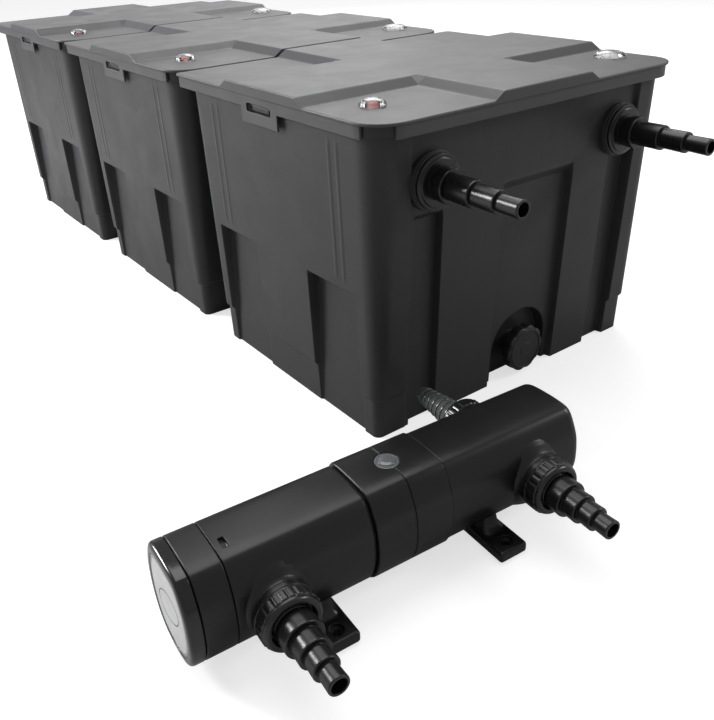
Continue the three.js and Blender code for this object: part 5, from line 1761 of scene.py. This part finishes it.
def add_media():
    middle = sum(GRID_Y) / 2
    for seed, (node, look, slot, sag) in enumerate((
        ("foam_coarse", "foam_blue", "foam_blue", 2.0), ("foam_fine", "foam_dark", "foam_charcoal", 2.0),
        ("mat_lower", "mat", "mat_green", 3.0), ("mat_upper", "mat", "mat_green", 3.0),
    ), 1):
        low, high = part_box(node)
        mesh = slab_mesh(node, low.z / MM, high.z / MM, sag, seed)
        stand_in(node, mesh, look, "chambers", metres(0, centre_of(node).y - middle, 0))
    here = metres(0, centre_of("media_crate").y - middle, 0)
    stand_in("media_crate", crate_mesh(), "crate", "chambers", here)
    stand_in("bio_media", bed_mesh(), "ceramic", "chambers", here)


def add_clarifier():
    here = clarifier_place()
    plate, field, line = label_meshes()
    lamp_base, lamp = lamp_meshes()
    barrel_body, head_body = "uv_barrel", "uv_head_unit"
    for node, mesh, look, body, slot in (
        ("uv_housing_left", housing_left_mesh(), "barrel", barrel_body, "clarifier_plastic"),
        ("uv_housing_right", housing_right_mesh(), "barrel", barrel_body, "clarifier_plastic"),
        ("uv_band", band_mesh(), "band", barrel_body, "clarifier_plastic"),
        ("uv_indicator_lens", indicator_mesh(), "indicator", barrel_body, "smoked_clear"),
        ("uv_end_plug", end_plug_mesh(), "barrel", "uv_plug", "clarifier_plastic"),
        ("uv_head", head_mesh(), "barrel", head_body, "clarifier_plastic"),
        ("uv_head_seal", head_seal_mesh(), "rubber", head_body, "seal_rubber"),
        ("uv_bezel", bezel_mesh(), "bezel", head_body, "gloss_plastic"),
        ("uv_label", plate, "label", head_body, "label_silver"),
        ("uv_lamp", lamp, "lamp", head_body, "lamp_white"),
        ("uv_quartz_sleeve", sleeve_mesh(), "quartz", head_body, "quartz"),
        ("uv_cable", cable_mesh(), "cable", head_body, "seal_rubber"),
    ):
        stand_in(node, mesh, look, body, here)
    show("uv_label_field", field, LOOKS["label_field"], head_body, here)
    show("uv_label_line", line, LOOKS["label_ink"], head_body, here)
    show("uv_lamp_base", lamp_base, LOOKS["lamp_base"], head_body, here)
    nut, front_tail, rear_tail = nut_mesh(), clarifier_tail_mesh(), barbed_tail_mesh()
    for port, (u, facing) in UV_PORTS.items():
        there = here @ metres(u, 0, UV_AXIS) @ (FRONT if facing < 0 else BACK)
        stand_in(f"uv_nut_{port}", nut, "nut", f"uv_nut_body_{port}", there)
        tail, look, slot = (
            (front_tail, "gloss", "gloss_plastic") if facing < 0 else (rear_tail, "smoked", "smoked_clear")
        )
        stand_in(f"uv_tail_{port}", tail, look, barrel_body, there)


# ---------------------------------------------------------------- floor, light and camera


def add_floor():
    bm = bmesh.new()
    bmesh.ops.create_grid(bm, x_segments=2, y_segments=2, size=FLOOR_SIZE)
    mesh = bpy.data.meshes.new("floor")
    bm.to_mesh(mesh)
    bm.free()
    mesh.materials.append(floor_look())
    floor = bpy.data.objects.new("floor", mesh)
    floor.location.z = -FLOOR_DROP
    bpy.context.scene.collection.objects.link(floor)


def add_light(name, at, aim, size, watts):
    light = bpy.data.lights.new(name, "AREA")
    light.shape = "RECTANGLE"
    light.size, light.size_y = size
    light.energy = watts
    obj = bpy.data.objects.new(name, light)
    obj.location = at
    obj.rotation_euler = (Vector(at) - Vector(aim)).to_track_quat("Z", "Y").to_euler()
    bpy.context.scene.collection.objects.link(obj)


def add_studio():
    add_floor()
    for light in LIGHTS:
        add_light(*light)
    world = bpy.data.worlds.new("studio")
    world.use_nodes = True
    background = world.node_tree.nodes["Background"]
    background.inputs["Color"].default_value = (1, 1, 1, 1)
    background.inputs["Strength"].default_value = WORLD_STRENGTH
    bpy.context.scene.world = world
    bpy.context.scene.view_settings.view_transform = "Standard"
    camera = bpy.data.cameras.new("camera")
    camera.lens = CAMERA_LENS
    camera.shift_y = CAMERA_SHIFT
    obj = bpy.data.objects.new("camera", camera)
    obj.location = CAMERA_AT
    obj.rotation_euler = [math.radians(angle) for angle in CAMERA_TURN]
    bpy.context.scene.collection.objects.link(obj)
    bpy.context.scene.camera = obj


def plain(box):
    return [[float(c) for c in corner] for corner in box]


add_chambers()
add_fittings()
add_media()
add_clarifier()
add_studio()
